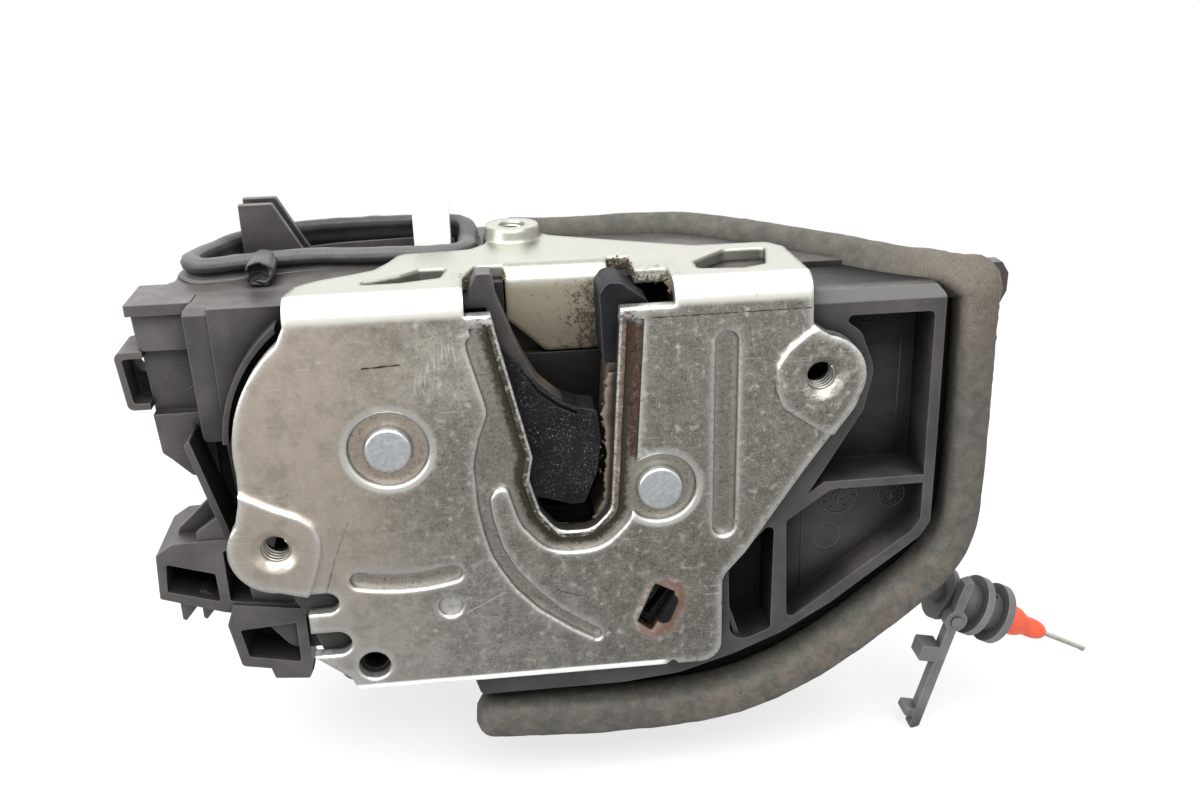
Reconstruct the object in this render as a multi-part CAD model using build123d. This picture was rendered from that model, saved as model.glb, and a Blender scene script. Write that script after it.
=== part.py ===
from build123d import *
from math import cos, radians, sin, tan
import os

# Car door lock. Millimetres; X right, Y into the door, Z up.
# The face plate's front is y = 0 and the seated striker's centre is x = 0, z = 0.

# Steel sheet of the face plate
SHEET = 2.5
BEND_OUT = 4.0
FLANGE_TOP = 38.6
PRESS = 1.0  # depth of pressed rings, grooves and beads
PAD_RISE = 0.9

# Pivots of the catch and the pawl
CATCH_X, CATCH_Z = -32.4, 11.4
PAWL_X, PAWL_Z = 15.0, 0.5
PIVOT_R = 3.2
PIVOT_HEAD_R = 4.05
PIVOT_HEAD_OUT = 0.7
RUNNING = 0.06  # play of a turning part on its pin
GAP = 0.3  # space between parts that pass each other
PAWL_SWING = 15.0

# Fixing holes, M6 by tapping radius
TAP_R = 2.5
THREAD_LENGTH = 6.0
DISH = 0.7  # depth of the dished mouth, then the whole mouth's depth
MOUTH_END = 1.3
FIX_LEFT = (-53.6, -6.5)
FIX_RIGHT = (43.8, 20.1)
FIX_TOP = (-8.0, 36.2)  # x and y on the flange
PAD_R = 8.2
COLLAR_R = 5.0
COLLAR_RISE = 2.4

# Layers behind the plate
CATCH_FRONT = SHEET + PRESS + GAP
CATCH_THICK = 6.4
JACKET_SKIN = 1.0
BACKING_FRONT = CATCH_FRONT + CATCH_THICK + 0.6
BACKING = 2.0
CARRIER_BACK = 17.0
MOUTH_DEPTH = 14.5
SOFT_ROOM = 1.5  # behind the bumper and the liner
HOUSING_BACK = 54.6
COVER = 2.4
HOUSING_TOP = 36.1
WALL = 2.0

# Catch and pawl
CATCH_REACH = 37.4
CATCH_BODY_R = 19.0
PAWL_HUB_R = 6.2

# Wing pockets on the right
WING_TOP = 35.2
DEEP_FLOOR = 12.0
SHALLOW_FLOOR = 7.5

# Foam rubber seals
SEAL_WIDE = 7.6
SEAL_FRONT, SEAL_BACK = 0.6, 9.6
RAIL = 2.0
TOP_STRAND = 8.0
LOOP_R = 2.5

# Rear mechanism
MOTOR_R = 10.5
MOTOR_Y, MOTOR_Z = 33.0, -20.0
WORM_R = 2.6
WHEEL_R = 13.0
WHEEL_THICK = 6.0
WHEEL_X = -4.0
WHEEL_TEETH = 36
PIN_R = 2.0
FLOOR = CARRIER_BACK + WALL

# Cable-end fitting, built along X and then tipped down
FITTING_AT = (72.2, 14.0, -33.6)
FITTING_TIP = 27.0
CONDUIT_R = 2.0
FITTING_R = 4.1
FITTING_DISC_R = 6.3
COLLAR_DISC_R = 5.6
DISC = 1.7
WIRE_R = 0.55
SLEEVE_R = 2.9
LID_WIDE = 2.4


# Helpers
def outline(corners, radius=0.0):
    """A closed face through the corners; a third number in a corner is its radius."""
    count = len(corners)
    joints = []
    for i, corner in enumerate(corners):
        here = Vector(corner[0], corner[1])
        before = Vector(*corners[i - 1][:2]) - here
        after = Vector(*corners[(i + 1) % count][:2]) - here
        size = corner[2] if len(corner) > 2 else radius
        half = radians(before.get_angle(after)) / 2
        if size <= 0 or half > radians(89):
            joints.append((here, None, here))
            continue
        reach = min(size / tan(half), 0.49 * before.length, 0.49 * after.length)
        size = reach * tan(half)
        middle = (before.normalized() + after.normalized()).normalized()
        middle = here + middle * (size / sin(half) - size)
        joints.append((here + before.normalized() * reach, middle,
                       here + after.normalized() * reach))
    edges = []
    for i, (start, middle, end) in enumerate(joints):
        if middle is not None:
            edges.append(ThreePointArc(start, middle, end))
        following = joints[(i + 1) % count][0]
        if (following - end).length > 1e-6:
            edges.append(Line(end, following))
    return make_face(Wire(edges))


def slab(face, front, back):
    """A face drawn in X and Z made solid between two depths."""
    return extrude(Plane.XZ.offset(-back) * face, amount=back - front)


def sheet(face, bottom, top):
    """A face drawn in X and Y made solid between two heights."""
    return extrude(Plane.XY.offset(bottom) * face, amount=top - bottom)


def disc(x, z, radius, front, back):
    """A round along Y."""
    return slab(Pos(x, z) * Circle(radius), front, back)


def rod(y, z, radius, left, right):
    """A round along X."""
    return extrude(Plane.YZ.offset(left) * Pos(y, z) * Circle(radius), amount=right - left)


def prism(corners, left, right):
    """A shape drawn in Y and Z made solid along X."""
    return extrude(Plane.YZ.offset(left) * outline(corners), amount=right - left)


def box(x0, x1, y0, y1, z0, z1):
    """A block between two corners."""
    return Pos((x0 + x1) / 2, (y0 + y1) / 2, (z0 + z1) / 2) * Box(x1 - x0, y1 - y0, z1 - z0)


def funnel(x, z, front, wide, back, narrow):
    """A cone along Y that narrows from one depth to another."""
    cone = Cone(wide, narrow, back - front)
    return Pos(x, (front + back) / 2, z) * Rot(-90, 0, 0) * cone


def around(x, z, radius, angle):
    """A point on a circle in X and Z."""
    return (x + radius * cos(radians(angle)), z + radius * sin(radians(angle)))


def pie(x, z, radius, start, end):
    """A sector, from one angle to another."""
    steps = 8
    points = [(x, z)]
    for i in range(steps + 1):
        points.append(around(x, z, radius, start + (end - start) * i / steps))
    return outline(points)


def turned(shape, x, z, angle):
    """A shape turned about a Y axis, clockwise seen from the front."""
    return Pos(x, 0, z) * Rot(0, angle, 0) * Pos(-x, 0, -z) * shape


def stadium(x, z, long, wide, angle=0):
    """A slot with round ends, drawn in X and Z."""
    return Pos(x, z) * Rot(0, 0, angle) * SlotOverall(long, wide)


# The striker's slot in the plate, its inner edge
SLOT_LEFT_TOP = (-14.4, FLANGE_TOP)
SLOT_RIGHT_TOP = (8.6, FLANGE_TOP)
SLOT_KNEE = (-7.6, 8.0)
SLOT_BOTTOM_R = 6.6
SLOT_EDGE = [SLOT_LEFT_TOP, SLOT_KNEE, (-8.4, 3.6, 2), (-6.6, -3.0, 4), (-3.4, -7.2, 4),
             (2.6, -7.2, 4), (6.2, -3.4, 4), SLOT_RIGHT_TOP]


def slot_face(wider=0.0):
    """The slot's opening, wider by a margin all round."""
    face = outline(SLOT_EDGE, 1.5)
    if wider:
        face = offset(face, wider, kind=Kind.ARC)
    return face


# Face plate with its flange, tongue, pressed rings and threaded pads
MOUTH_LEFT = -17.9
MOUTH_RIGHT = 12.0
TONGUE_LEFT, TONGUE_RIGHT = -10.4, 7.9
TONGUE_LOW = 22.7
BEND_Z = FLANGE_TOP - BEND_OUT
PLATE_LEFT, PLATE_RIGHT = -47.6, 41.7
PLATE_LOW = -37.3
PLATE_ROUND_R = 26.1


def plate_outline():
    """The outline of the face, up to the bend."""
    main = outline([
        (PLATE_LEFT, BEND_Z), (PLATE_RIGHT, BEND_Z), (41.9, 29.8, 1), (47.0, 26.5, 2),
        (51.4, 20.0), (50.2, 14.6, 5), (41.0, 1.4), (31.0, -14.0), (26.7, -19.0, 4),
        (26.8, PLATE_LOW, 4.5), (18.6, PLATE_LOW), (17.4, PLATE_LOW + 1.0, 0.5),
        (16.2, PLATE_LOW), (-42.0, PLATE_LOW, 1.0), (-43.0, -34.6, 1.0), (-49.4, -29.3),
        (-49.4, -16.0),
        (-56.0, -14.0), (-61.0, -6.0), (-58.6, 3.6, 6), (-58.2, 12.0)], 0)
    round_back = Pos(CATCH_X, CATCH_Z) * Circle(PLATE_ROUND_R)
    above = Pos(CATCH_X, BEND_Z + 30) * Rectangle(200, 60)
    pads = Pos(*FIX_LEFT) * Circle(PAD_R) + Pos(*FIX_RIGHT) * Circle(PAD_R - 0.4)
    return main + (round_back - above) + pads


def side_slots():
    """The two slots that open to the left below the left pad."""
    upper = stadium(-53.7, -18.2, 20.0, 4.4)
    lower = stadium(-52.2, -26.8, 20.0, 5.1)
    return upper + lower


def pad_faces():
    """The raised pads around the two fixing holes; they end at the plate's own edge."""
    left = outline([
        (-58.4, 5.0), (-53.5, 2.1), (-49.0, 0.0, 2), (-46.5, -1.9, 2), (-45.6, -5.1, 2),
        (-45.9, -8.1), (-47.2, -12.1), (-48.6, -15.7, 1), (-56.0, -22.0), (-70.0, -18.0),
        (-70.0, 5.0)])
    right = outline([
        (42.5, 29.5, 1), (40.1, 28.0, 2), (37.2, 25.4, 2), (35.5, 22.4, 2), (35.7, 18.0, 2),
        (37.0, 14.8, 1), (45.1, 9.1), (60.0, 9.0), (60.0, 31.0)])
    return (left + right) & (plate_outline() - side_slots())


def pressed_faces():
    """Faces of everything pressed back into the plate."""
    rings = Pos(CATCH_X, CATCH_Z) * Circle(7.1) + Pos(PAWL_X, PAWL_Z) * Circle(6.7)
    bead = stadium(26.8, 9.6, 40.1, 4.3, 90)
    smile = slab_arc(-31.6, 21.0, 36.0, 3.6, 257, 284)
    return rings + bead + smile


def recess_face():
    """The deep recess left of the slot, with the arc channel that leaves it below."""
    return outline([
        (-17.1, 31.2, 1), (-18.0, 30.4, 1), (-17.9, 28.5, 2), (-15.0, 17.2, 4),
        (-16.9, 12.2, 4), (-18.0, 7.3, 4), (-17.9, 4.6, 4), (-17.7, -1.1, 4),
        (-16.9, -6.3, 6), (-15.6, -11.3, 6), (-13.8, -14.8, 6), (-11.8, -18.2, 6),
        (-7.7, -23.0, 6), (-1.5, -27.8, 6), (3.2, -30.8, 1), (4.1, -29.9, 1), (3.7, -28.0, 1.5),
        (0.7, -26.2, 6), (-3.5, -23.1, 6), (-7.6, -18.8, 6), (-11.0, -14.6, 6),
        (-13.5, -9.6, 6), (-15.1, -3.2, 4), (-15.4, 0.4, 1.5), (-14.5, 2.0, 1),
        (-13.1, 2.4, 1), (-11.7, 1.7, 1), (-11.3, 0.1, 1), (-11.0, -2.7, 3), (-9.9, -5.9, 3),
        (-8.0, -7.7, 1), (0.0, 0.0), (0.0, 31.2)])


def slab_arc(x, z, radius, wide, start, end):
    """A band along an arc with round ends, drawn in X and Z."""
    first = around(x, z, radius, start)
    middle = around(x, z, radius, (start + end) / 2)
    last = around(x, z, radius, end)
    band = trace(ThreePointArc(first, middle, last), line_width=wide)
    return band + Pos(*first) * Circle(wide / 2) + Pos(*last) * Circle(wide / 2)


def latch_plate():
    slot = slot_face()
    collar_in = slot_face(1.2)
    recess = slot_face(4.2) + recess_face() - (Pos(0, BEND_Z + 30) * Rectangle(90, 64))
    body = slab(plate_outline() - side_slots(), 0, SHEET)
    body += slab(pad_faces(), -PAD_RISE, 0.1)
    pressed = pressed_faces() + recess
    body -= slab(pressed, 0, PRESS)
    body += slab(pressed - slot, SHEET, SHEET + PRESS)
    body += slab(collar_in - slot - Pos(0, BEND_Z + 30) * Rectangle(90, 64), 0.3, SHEET + PRESS)
    body += bend_and_flange()
    body -= slab(slot, -5, SHEET + PRESS + 1)
    body += tongue()
    for x, z in (FIX_LEFT, FIX_RIGHT):
        body += disc(x, z, TAP_R + 1.9, SHEET, THREAD_LENGTH - PAD_RISE)
        body -= disc(x, z, TAP_R, -5, 20)
        body -= funnel(x, z, -PAD_RISE, TAP_R + 1.7, -PAD_RISE + DISH, TAP_R + 0.5)
        body -= funnel(x, z, -PAD_RISE + DISH, TAP_R + 0.5, -PAD_RISE + MOUTH_END, TAP_R)
    body -= disc(-38.6, -32.2, 3.0, -5, 10)
    body -= disc(-23.8, -20.8, 2.3, -1, 0.7)
    body -= slab(outline([(14.0, -19.2), (18.1, -21.5), (13.4, -29.9), (10.5, -27.4)], 0.5), -5, 10)
    body -= disc(CATCH_X, CATCH_Z, PIVOT_R, -5, 10) + disc(PAWL_X, PAWL_Z, PIVOT_R, -5, 10)
    return body


def bend_and_flange():
    """The bend along the top edge and the flange behind it, with its windows."""
    ring = Circle(BEND_OUT) - Circle(BEND_OUT - SHEET)
    quarter = (Plane.YZ.offset(PLATE_LEFT) * Pos(BEND_OUT, BEND_Z) * ring)
    bend = extrude(quarter, amount=PLATE_RIGHT - PLATE_LEFT)
    bend &= box(-100, 100, 0, BEND_OUT, BEND_Z, 60)
    top = outline([
        (PLATE_LEFT, BEND_OUT), (PLATE_RIGHT, BEND_OUT), (41.2, 19.4, 2), (38.8, 23.0, 2),
        (25.0, 23.0, 4), (9.3, 30.5, 4), (-1.6, 36.0, 4), (-3.4, 40.0), (-12.4, 39.0),
        (-13.4, 31.4, 3), (-16.4, 28.0, 3), (-29.2, 27.2, 2.5), (-31.2, 21.6, 2),
        (-33.4, 17.4, 2), (-37.0, 15.4, 2), (-42.6, 12.7, 2), (-46.4, 9.6, 2)])
    top += Pos(*FIX_TOP) * Circle(COLLAR_R + 0.7)
    top -= outline([(23.0, 12.4), (29.8, 19.2), (37.8, 19.4), (35.3, 8.7), (31.2, 7.0),
                    (22.9, 8.0)], 1.0)
    top -= outline([(-38.7, 8.4), (-28.6, 13.4), (-25.4, 16.4), (-20.4, 16.4), (-21.6, 10.4),
                    (-28.4, 8.6)], 1.0)
    flange = sheet(top, FLANGE_TOP - SHEET, FLANGE_TOP)
    x, y = FIX_TOP
    collar = Pos(x, y, FLANGE_TOP + COLLAR_RISE / 2) * Cone(
        COLLAR_R + 0.7, COLLAR_R, COLLAR_RISE)
    mouth = outline([
        (MOUTH_LEFT, -5), (MOUTH_LEFT, 10.0, 1), (-15.8, 16.6, 1.5), (TONGUE_LEFT, 16.6),
        (TONGUE_LEFT, MOUTH_DEPTH + BEND_OUT), (TONGUE_RIGHT, MOUTH_DEPTH + BEND_OUT),
        (MOUTH_RIGHT, MOUTH_DEPTH + BEND_OUT - 0.5), (MOUTH_RIGHT, 9.2), (17.8, 9.2, 1),
        (17.8, -5)])
    folded = bend + flange + collar
    folded -= sheet(mouth, 30, 60) & box(-30, 17.8, -5, 30, BEND_Z - 0.5, 60)
    folded -= Pos(x, y, 36) * Cylinder(TAP_R, 30)
    return folded


def tongue():
    """The tab bent down behind the mouth, which closes the striker's pocket."""
    ring = Circle(BEND_OUT) - Circle(BEND_OUT - SHEET)
    y = MOUTH_DEPTH + BEND_OUT
    curve = extrude(Plane.YZ.offset(TONGUE_LEFT) * Pos(y, BEND_Z) * ring,
                    amount=TONGUE_RIGHT - TONGUE_LEFT)
    curve &= box(-100, 100, 0, y, BEND_Z, 60)
    drop = slab(outline([
        (TONGUE_LEFT, BEND_Z), (TONGUE_RIGHT, BEND_Z), (TONGUE_RIGHT, TONGUE_LOW, 1),
        (-3.6, TONGUE_LOW, 1.5), (-8.8, 27.6, 1.5), (TONGUE_LEFT, 29.0)]),
        MOUTH_DEPTH, MOUTH_DEPTH + SHEET)
    return curve + drop


# Steel plate behind the catch and the pawl
def backing_face():
    return outline([
        (-46, 0), (-46, 20), (-38, 28), (-22, 28), (-13.6, 14), (-11.2, -3), (-5, -10.4),
        (2, -11.6), (8, -8.6), (9.8, 0), (9.8, 14), (22, 14), (24, 0), (22, -12),
        (9, -21), (6, -31), (-34, -31), (-44, -16)], 3)


def backing_plate():
    body = slab(backing_face(), BACKING_FRONT, BACKING_FRONT + BACKING)
    body -= disc(CATCH_X, CATCH_Z, PIVOT_R, 0, 30) + disc(PAWL_X, PAWL_Z, PIVOT_R, 0, 30)
    return body


# Catch, drawn open
CATCH_JACKET = [
    (-18.6, 35.6, 1), (-13.6, 36.4, 1), (-13.4, 29.6, 1), (-10.2, 25.4, 2), (-6.2, 20.1, 6),
    (-2.2, 16.9, 6), (1.0, 15.4, 4), (4.3, 14.9, 1), (4.9, 9.0), (4.2, 3.0), (1.7, -3.4, 1),
    (-1.0, -3.4, 3), (-6.0, -1.6, 5), (-16.0, -3.6, 8), (-23.5, -5.0, 6), (-32.4, -7.4, 8),
    (-44.0, -3.4, 8), (-51.2, 8.0, 8), (-50.0, 20.6, 8), (-40.0, 29.2, 8), (-28.0, 29.6, 8),
    (-22.6, 31.6, 4)]
CATCH_CORE = [
    (-16.6, 38.4, 0.5), (-15.5, 40.5, 0.6), (-13.0, 40.5, 0.6), (-12.3, 36.0, 3),
    (-9.6, 28.4, 2), (-8.4, 25.6, 2), (-5.8, 20.5, 5), (-1.2, 16.0, 4), (1.6, 12.0, 2),
    (1.2, 3.0, 2), (-4.0, 1.0, 5), (-14.0, -1.0, 8), (-32.4, -3.6, 8), (-45.0, 2.0, 8),
    (-47.6, 14.0, 8), (-40.0, 25.0, 8), (-26.0, 27.2, 8), (-18.6, 32.8, 4), (-17.3, 35.6)]
BUFFER_SLIT = [(-8.9, 23.2), (-5.8, 18.9), (-2.4, 16.1), (1.0, 14.4)]


def catch_core():
    body = slab(outline(CATCH_CORE), CATCH_FRONT + JACKET_SKIN,
                CATCH_FRONT + CATCH_THICK - JACKET_SKIN)
    body -= hook_room()
    return body - disc(CATCH_X, CATCH_Z, PIVOT_R + 1.2, 0, 30)


def hook_room():
    """The notch behind the catch's hook."""
    return box(-20.0, -14.0, 0, 9.0, 31.5, 34.6)


def catch_jacket():
    body = slab(outline(CATCH_JACKET), CATCH_FRONT, CATCH_FRONT + CATCH_THICK)
    body -= catch_core() + hook_room()
    body -= slab(trace(Polyline(BUFFER_SLIT), line_width=0.7), CATCH_FRONT - 1, CATCH_FRONT + 0.8)
    body -= slab(outline(CATCH_CORE) & outline([(-30, 33.4), (0, 33.4), (0, 50), (-30, 50)]),
                 CATCH_FRONT - 1, CATCH_FRONT + JACKET_SKIN)
    return body - disc(CATCH_X, CATCH_Z, PIVOT_R + RUNNING, 0, 30)


# Pawl, drawn holding the catch and then lifted
PAWL_JACKET = [
    (9.3, -2.0, 2), (7.6, -9.6, 4), (-2.0, -12.6, 6), (-13.4, -13.4, 0.6), (-12.7, -19.4, 0.8),
    (-3.0, -19.6, 4), (7.4, -17.2, 5), (15.6, -11.0, 4), (21.4, -3.0, 3), (25.6, 8.0, 2),
    (24.4, 12.6, 1.5), (19.6, 13.0, 1.5), (16.0, 7.0, 2), (11.0, 5.6, 3)]
PAWL_CORE = [
    (10.6, -3.0, 2), (8.6, -10.8, 4), (-2.0, -13.8, 6), (-12.2, -14.6, 0.5), (-11.7, -18.2, 0.5),
    (-3.0, -18.4, 4), (7.0, -16.0, 4), (14.6, -10.0, 4), (20.0, -2.6, 3), (24.2, 8.0, 2),
    (23.4, 11.4, 1), (20.4, 11.6, 1), (17.0, 5.4, 2), (12.0, 4.2, 3)]


def pawl_core():
    body = slab(outline(PAWL_CORE), CATCH_FRONT + JACKET_SKIN,
                CATCH_FRONT + CATCH_THICK - JACKET_SKIN)
    body -= disc(PAWL_X, PAWL_Z, PIVOT_R + 0.9, 0, 30)
    return turned(body, PAWL_X, PAWL_Z, -PAWL_SWING)


def pawl_jacket():
    hub = Pos(PAWL_X, PAWL_Z) * Circle(PAWL_HUB_R)
    body = slab(outline(PAWL_JACKET) + hub, CATCH_FRONT, CATCH_FRONT + CATCH_THICK)
    core = slab(outline(PAWL_CORE), CATCH_FRONT + JACKET_SKIN,
                CATCH_FRONT + CATCH_THICK - JACKET_SKIN)
    core -= disc(PAWL_X, PAWL_Z, PIVOT_R + 0.9, 0, 30)
    body -= core
    body -= disc(PAWL_X, PAWL_Z, PIVOT_R + RUNNING, 0, 30)
    return turned(body, PAWL_X, PAWL_Z, -PAWL_SWING)


def pivot(x, z):
    """A rivet with a flat head in front and a closed head behind."""
    back = BACKING_FRONT + BACKING
    body = disc(x, z, PIVOT_R, PRESS - 0.01, back)
    head = disc(x, z, PIVOT_HEAD_R, -PIVOT_HEAD_OUT, PRESS)
    head = fillet(head.edges().group_by(Axis.Y)[0], 0.5)
    rear = disc(x, z, PIVOT_HEAD_R, back, back + 1.4)
    return body + head + rear


def torsion_spring(x, z, radius, turns, legs):
    """A coil around a pivot with two straight legs."""
    wire = 0.6
    pitch = 1.35
    front = BACKING_FRONT + BACKING + 1.4 + 0.2
    coil = Helix(pitch=pitch, height=pitch * turns, radius=radius)
    start = Plane(coil @ 0, z_dir=coil % 0)
    body = sweep(start * Circle(wire), coil, is_frenet=True)
    body = Pos(x, front + wire, z) * Rot(-90, 0, 0) * body
    low = front + wire
    high = low + pitch * turns
    for (angle, long), y in zip(legs, (low, high)):
        from_x, from_z = x + radius, z
        to_x, to_z = from_x + long * cos(radians(angle)), from_z + long * sin(radians(angle))
        line = Line((from_x, y, from_z), (to_x, y, to_z))
        body += sweep(Plane(line @ 0, z_dir=line % 0) * Circle(wire), line)
        body += Pos(from_x, y, from_z) * Sphere(wire)
    return body


# Plastic bumper and liner along the right of the slot
def slot_buffer():
    body = slab(outline([
        (5.6, 23.6, 0.5), (5.2, 36.2, 1.5), (6.6, 38.2, 1.5), (9.0, 38.0, 1.5),
        (13.6, 34.6, 1), (13.6, 23.6, 0.5)]), SHEET + PRESS + 0.1, MOUTH_DEPTH - SOFT_ROOM)
    return body


def slot_liner():
    return slab(outline([
        (6.4, 23.6), (5.9, 16.0, 2), (5.6, 11.4, 2), (6.2, 6.0, 2), (5.8, 0.4, 2),
        (5.2, -3.4, 2), (3.6, -6.6), (4.8, -7.8), (7.4, -5.2, 1), (8.4, -1.0), (8.6, 23.6)]),
        SHEET + PRESS + 0.1, MOUTH_DEPTH - SOFT_ROOM)


# Front carrier of dark plastic, with the wing pockets on the right
WING_EDGE = [(42.5, WING_TOP), (64.6, WING_TOP, 1), (66.5, 33.0, 1.5), (67.0, 6.0),
             (67.2, -12.0, 3), (65.4, -15.0, 2), (48.6, -28.1), (39.2, -33.9, 12),
             (29.8, -37.9, 12), (19.2, -41.2, 8), (8.0, -42.4, 8), (-19.4, -42.4, 1)]


def carrier_face(top):
    """The carrier's outline in X and Z up to a height."""
    left = [(-21.0, -36.6, 1), (-44.0, -36.6, 2), (-47.4, -31.0, 2), (-50.0, -22.0),
            (-56.0, -10.0, 3), (-60.2, -2.0, 3), (-61.0, 14.0), (-61.0, top)]
    return outline(WING_EDGE + left + [(42.4, top)])


def mouth_face():
    """The room behind the slot for the striker, the bumper and the liner."""
    return outline([
        (-17.8, 45), (-14.4, 24), (-11.0, 10), (-10.0, -3, 3), (-5.0, -9.4, 4), (3.0, -9.4, 4),
        (8.6, -5.0, 3), (8.6, 23.6), (13.6, 23.6), (13.6, 29.0), (18.2, 29.0), (18.2, 45)])


def latch_carrier():
    top = HOUSING_TOP
    body = slab(carrier_face(34.3), SHEET, SHEET + 1.8)
    body += slab(carrier_face(top - 0.01), SHEET + 1.8, CARRIER_BACK)
    body -= slab(lip_room(), 0, 7.5)
    body += left_block()
    body += seal_rail()
    body &= (slab(Rectangle(400, 400), -10, FITTING_AT[1] - 4.0)
             + sheet(outline(HOUSING_EDGE), -100, 100))
    body -= wing_pockets()
    sweep_catch = pie(CATCH_X, CATCH_Z, CATCH_REACH + 0.8, -98, 66)
    sweep_catch += Pos(CATCH_X, CATCH_Z) * Circle(CATCH_BODY_R + 3.2)
    sweep_catch += pie(CATCH_X, CATCH_Z, 27, -112, -90)
    sweep_pawl = pie(PAWL_X, PAWL_Z, 36.6, 192, 266) + Pos(PAWL_X, PAWL_Z) * Circle(12.4)
    sweep_pawl += pie(PAWL_X, PAWL_Z, 18.2, 14, 96) + pie(PAWL_X, PAWL_Z, 20.4, 260, 300)
    cavity = sweep_catch + sweep_pawl
    cavity -= outline([(-60, 36.2), (-60, 34.2), (-23, 34.2), (-23, 36.2)])
    body -= slab(cavity, 0, BACKING_FRONT)
    body -= slab(backing_face(), BACKING_FRONT - 0.01, BACKING_FRONT + BACKING)
    body -= slab(mouth_face(), 0, MOUTH_DEPTH)
    body -= box(TONGUE_LEFT - 0.4, TONGUE_RIGHT + 0.4, MOUTH_DEPTH - 0.1, 30, TONGUE_LOW - 0.4, 50)
    for x, z in ((CATCH_X, CATCH_Z), (PAWL_X, PAWL_Z)):
        body -= disc(x, z, 8.2, 10, 30)
    for x, z in (FIX_LEFT, FIX_RIGHT):
        body -= disc(x, z, TAP_R + 2.2, 0, 30)
    body -= disc(ROTOR_X, ROTOR_Z, ROTOR_R + RUNNING, 0, 30)
    body -= disc(-38.6, -32.2, 2.2, 0, 12)
    pressed = offset(pressed_faces(), 0.1, kind=Kind.ARC) + slot_face(4.3)
    pressed += offset(recess_face(), 0.1, kind=Kind.ARC)
    body -= slab(pressed, 0, SHEET + PRESS)
    return body - strand_room() + conduit_clip()


LIP_R = 28.2


def lip_room():
    """The space outside the plate's round left edge, where the lip stands free."""
    near = Pos(-59, 18.5) * Rectangle(22, 43)
    return near - Pos(CATCH_X, CATCH_Z) * Circle(PLATE_ROUND_R)


def left_block():
    """The stepped block left of the plate with its lip along the plate's round edge."""
    face = outline([(-65.2, HOUSING_TOP, 1), (-48.4, HOUSING_TOP), (-48.4, 30), (-58, 20),
                    (-59.6, 11.6), (-64.8, 11.6, 1)])
    body = slab(face, 8.0, CARRIER_BACK)
    body -= prism([(7.9, HOUSING_TOP - 1.3), (9.3, HOUSING_TOP + 0.1), (7.9, HOUSING_TOP + 0.1)],
                  -70, -40)
    lip = Pos(CATCH_X, CATCH_Z) * (Circle(LIP_R) - Circle(LIP_R - 1.0))
    window = outline([(-70, 13.0), (-49.4, 13.0), (-49.4, 33.6), (-70, 33.6)])
    body += slab(lip & window, 3.2, 9.0)
    body += slab(outline([(-67.6, 12.4), (-66.6, 13.4), (-61.2, -8.4), (-62.4, -9.0)], 0.3),
                 5.0, CARRIER_BACK)
    body += slab(outline([(-67.0, 12.8), (-60.0, 12.8), (-58.0, -4.0), (-56.0, -9.6), (-61.8, -8.8)]),
                 14.0, CARRIER_BACK)
    return body


def seal_rail():
    """The thin flange that carries the foam seal from behind."""
    face = outline([(66.0, 28.0), (74.6, 28.0, 1), (74.9, -10.0, 10), (70.0, -23.4, 14),
                    (52.0, -37.6), (40.0, -45.6, 20), (24.0, -50.2, 12), (-18.6, -50.4, 2),
                    (-18.6, -40.0), (20.0, -40.0), (40.0, -32.0), (60.0, -16.0)])
    return slab(face, SEAL_BACK, SEAL_BACK + RAIL)


def conduit_clip():
    """The ring behind the seal's rail that holds the cable's conduit."""
    return tipped(round_x(CONDUIT_R + 1.5, -15.0, -10.0) - round_x(CONDUIT_R, -20, 0))


def wing_pockets():
    """Pockets open to the front between the wing's outer wall and its ribs."""
    deep = outline([(47.2, 30.2, 1), (64.6, 30.2, 1), (65.1, -2.0), (46.0, -2.0), (43.0, -4.4),
                    (52.6, 12.0, 3), (54.2, 20.0, 6), (51.4, 27.0, 3)])
    shallow = outline([(47.6, -3.6, 3), (65.1, -3.6), (65.2, -11.4, 2), (63.6, -13.8, 2),
                       (40.0, -31.4, 1), (39.2, -9.6, 1)])
    lower = outline([(36.9, -9.0, 1), (36.9, -32.8, 1), (29.0, -36.0, 3), (28.4, -18.4, 2)])
    body = slab(deep, 0, DEEP_FLOOR) + slab(shallow, 0, SHALLOW_FLOOR + 1.0)
    body += slab(lower, 0, DEEP_FLOOR)
    rib = slab(outline([(28.0, -27.4), (28.7, -27.0), (31.6, -36.0), (30.6, -36.4)]), 3.4, 13)
    return body - rib


# Turning plug for the emergency lock, seen through the window in the plate
ROTOR_X, ROTOR_Z, ROTOR_R = 14.3, -24.7, 4.6


def emergency_rotor():
    body = disc(ROTOR_X, ROTOR_Z, ROTOR_R, SHEET + 0.4, CARRIER_BACK + 4.0)
    body += disc(ROTOR_X, ROTOR_Z, ROTOR_R + 1.6, FLOOR + RUNNING, CARRIER_BACK + 4.0)
    key = Pos(ROTOR_X, ROTOR_Z) * Rot(0, 0, 55) * Rectangle(6.4, 1.6)
    return body - slab(key, 0, SHEET + 3.4)


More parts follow.
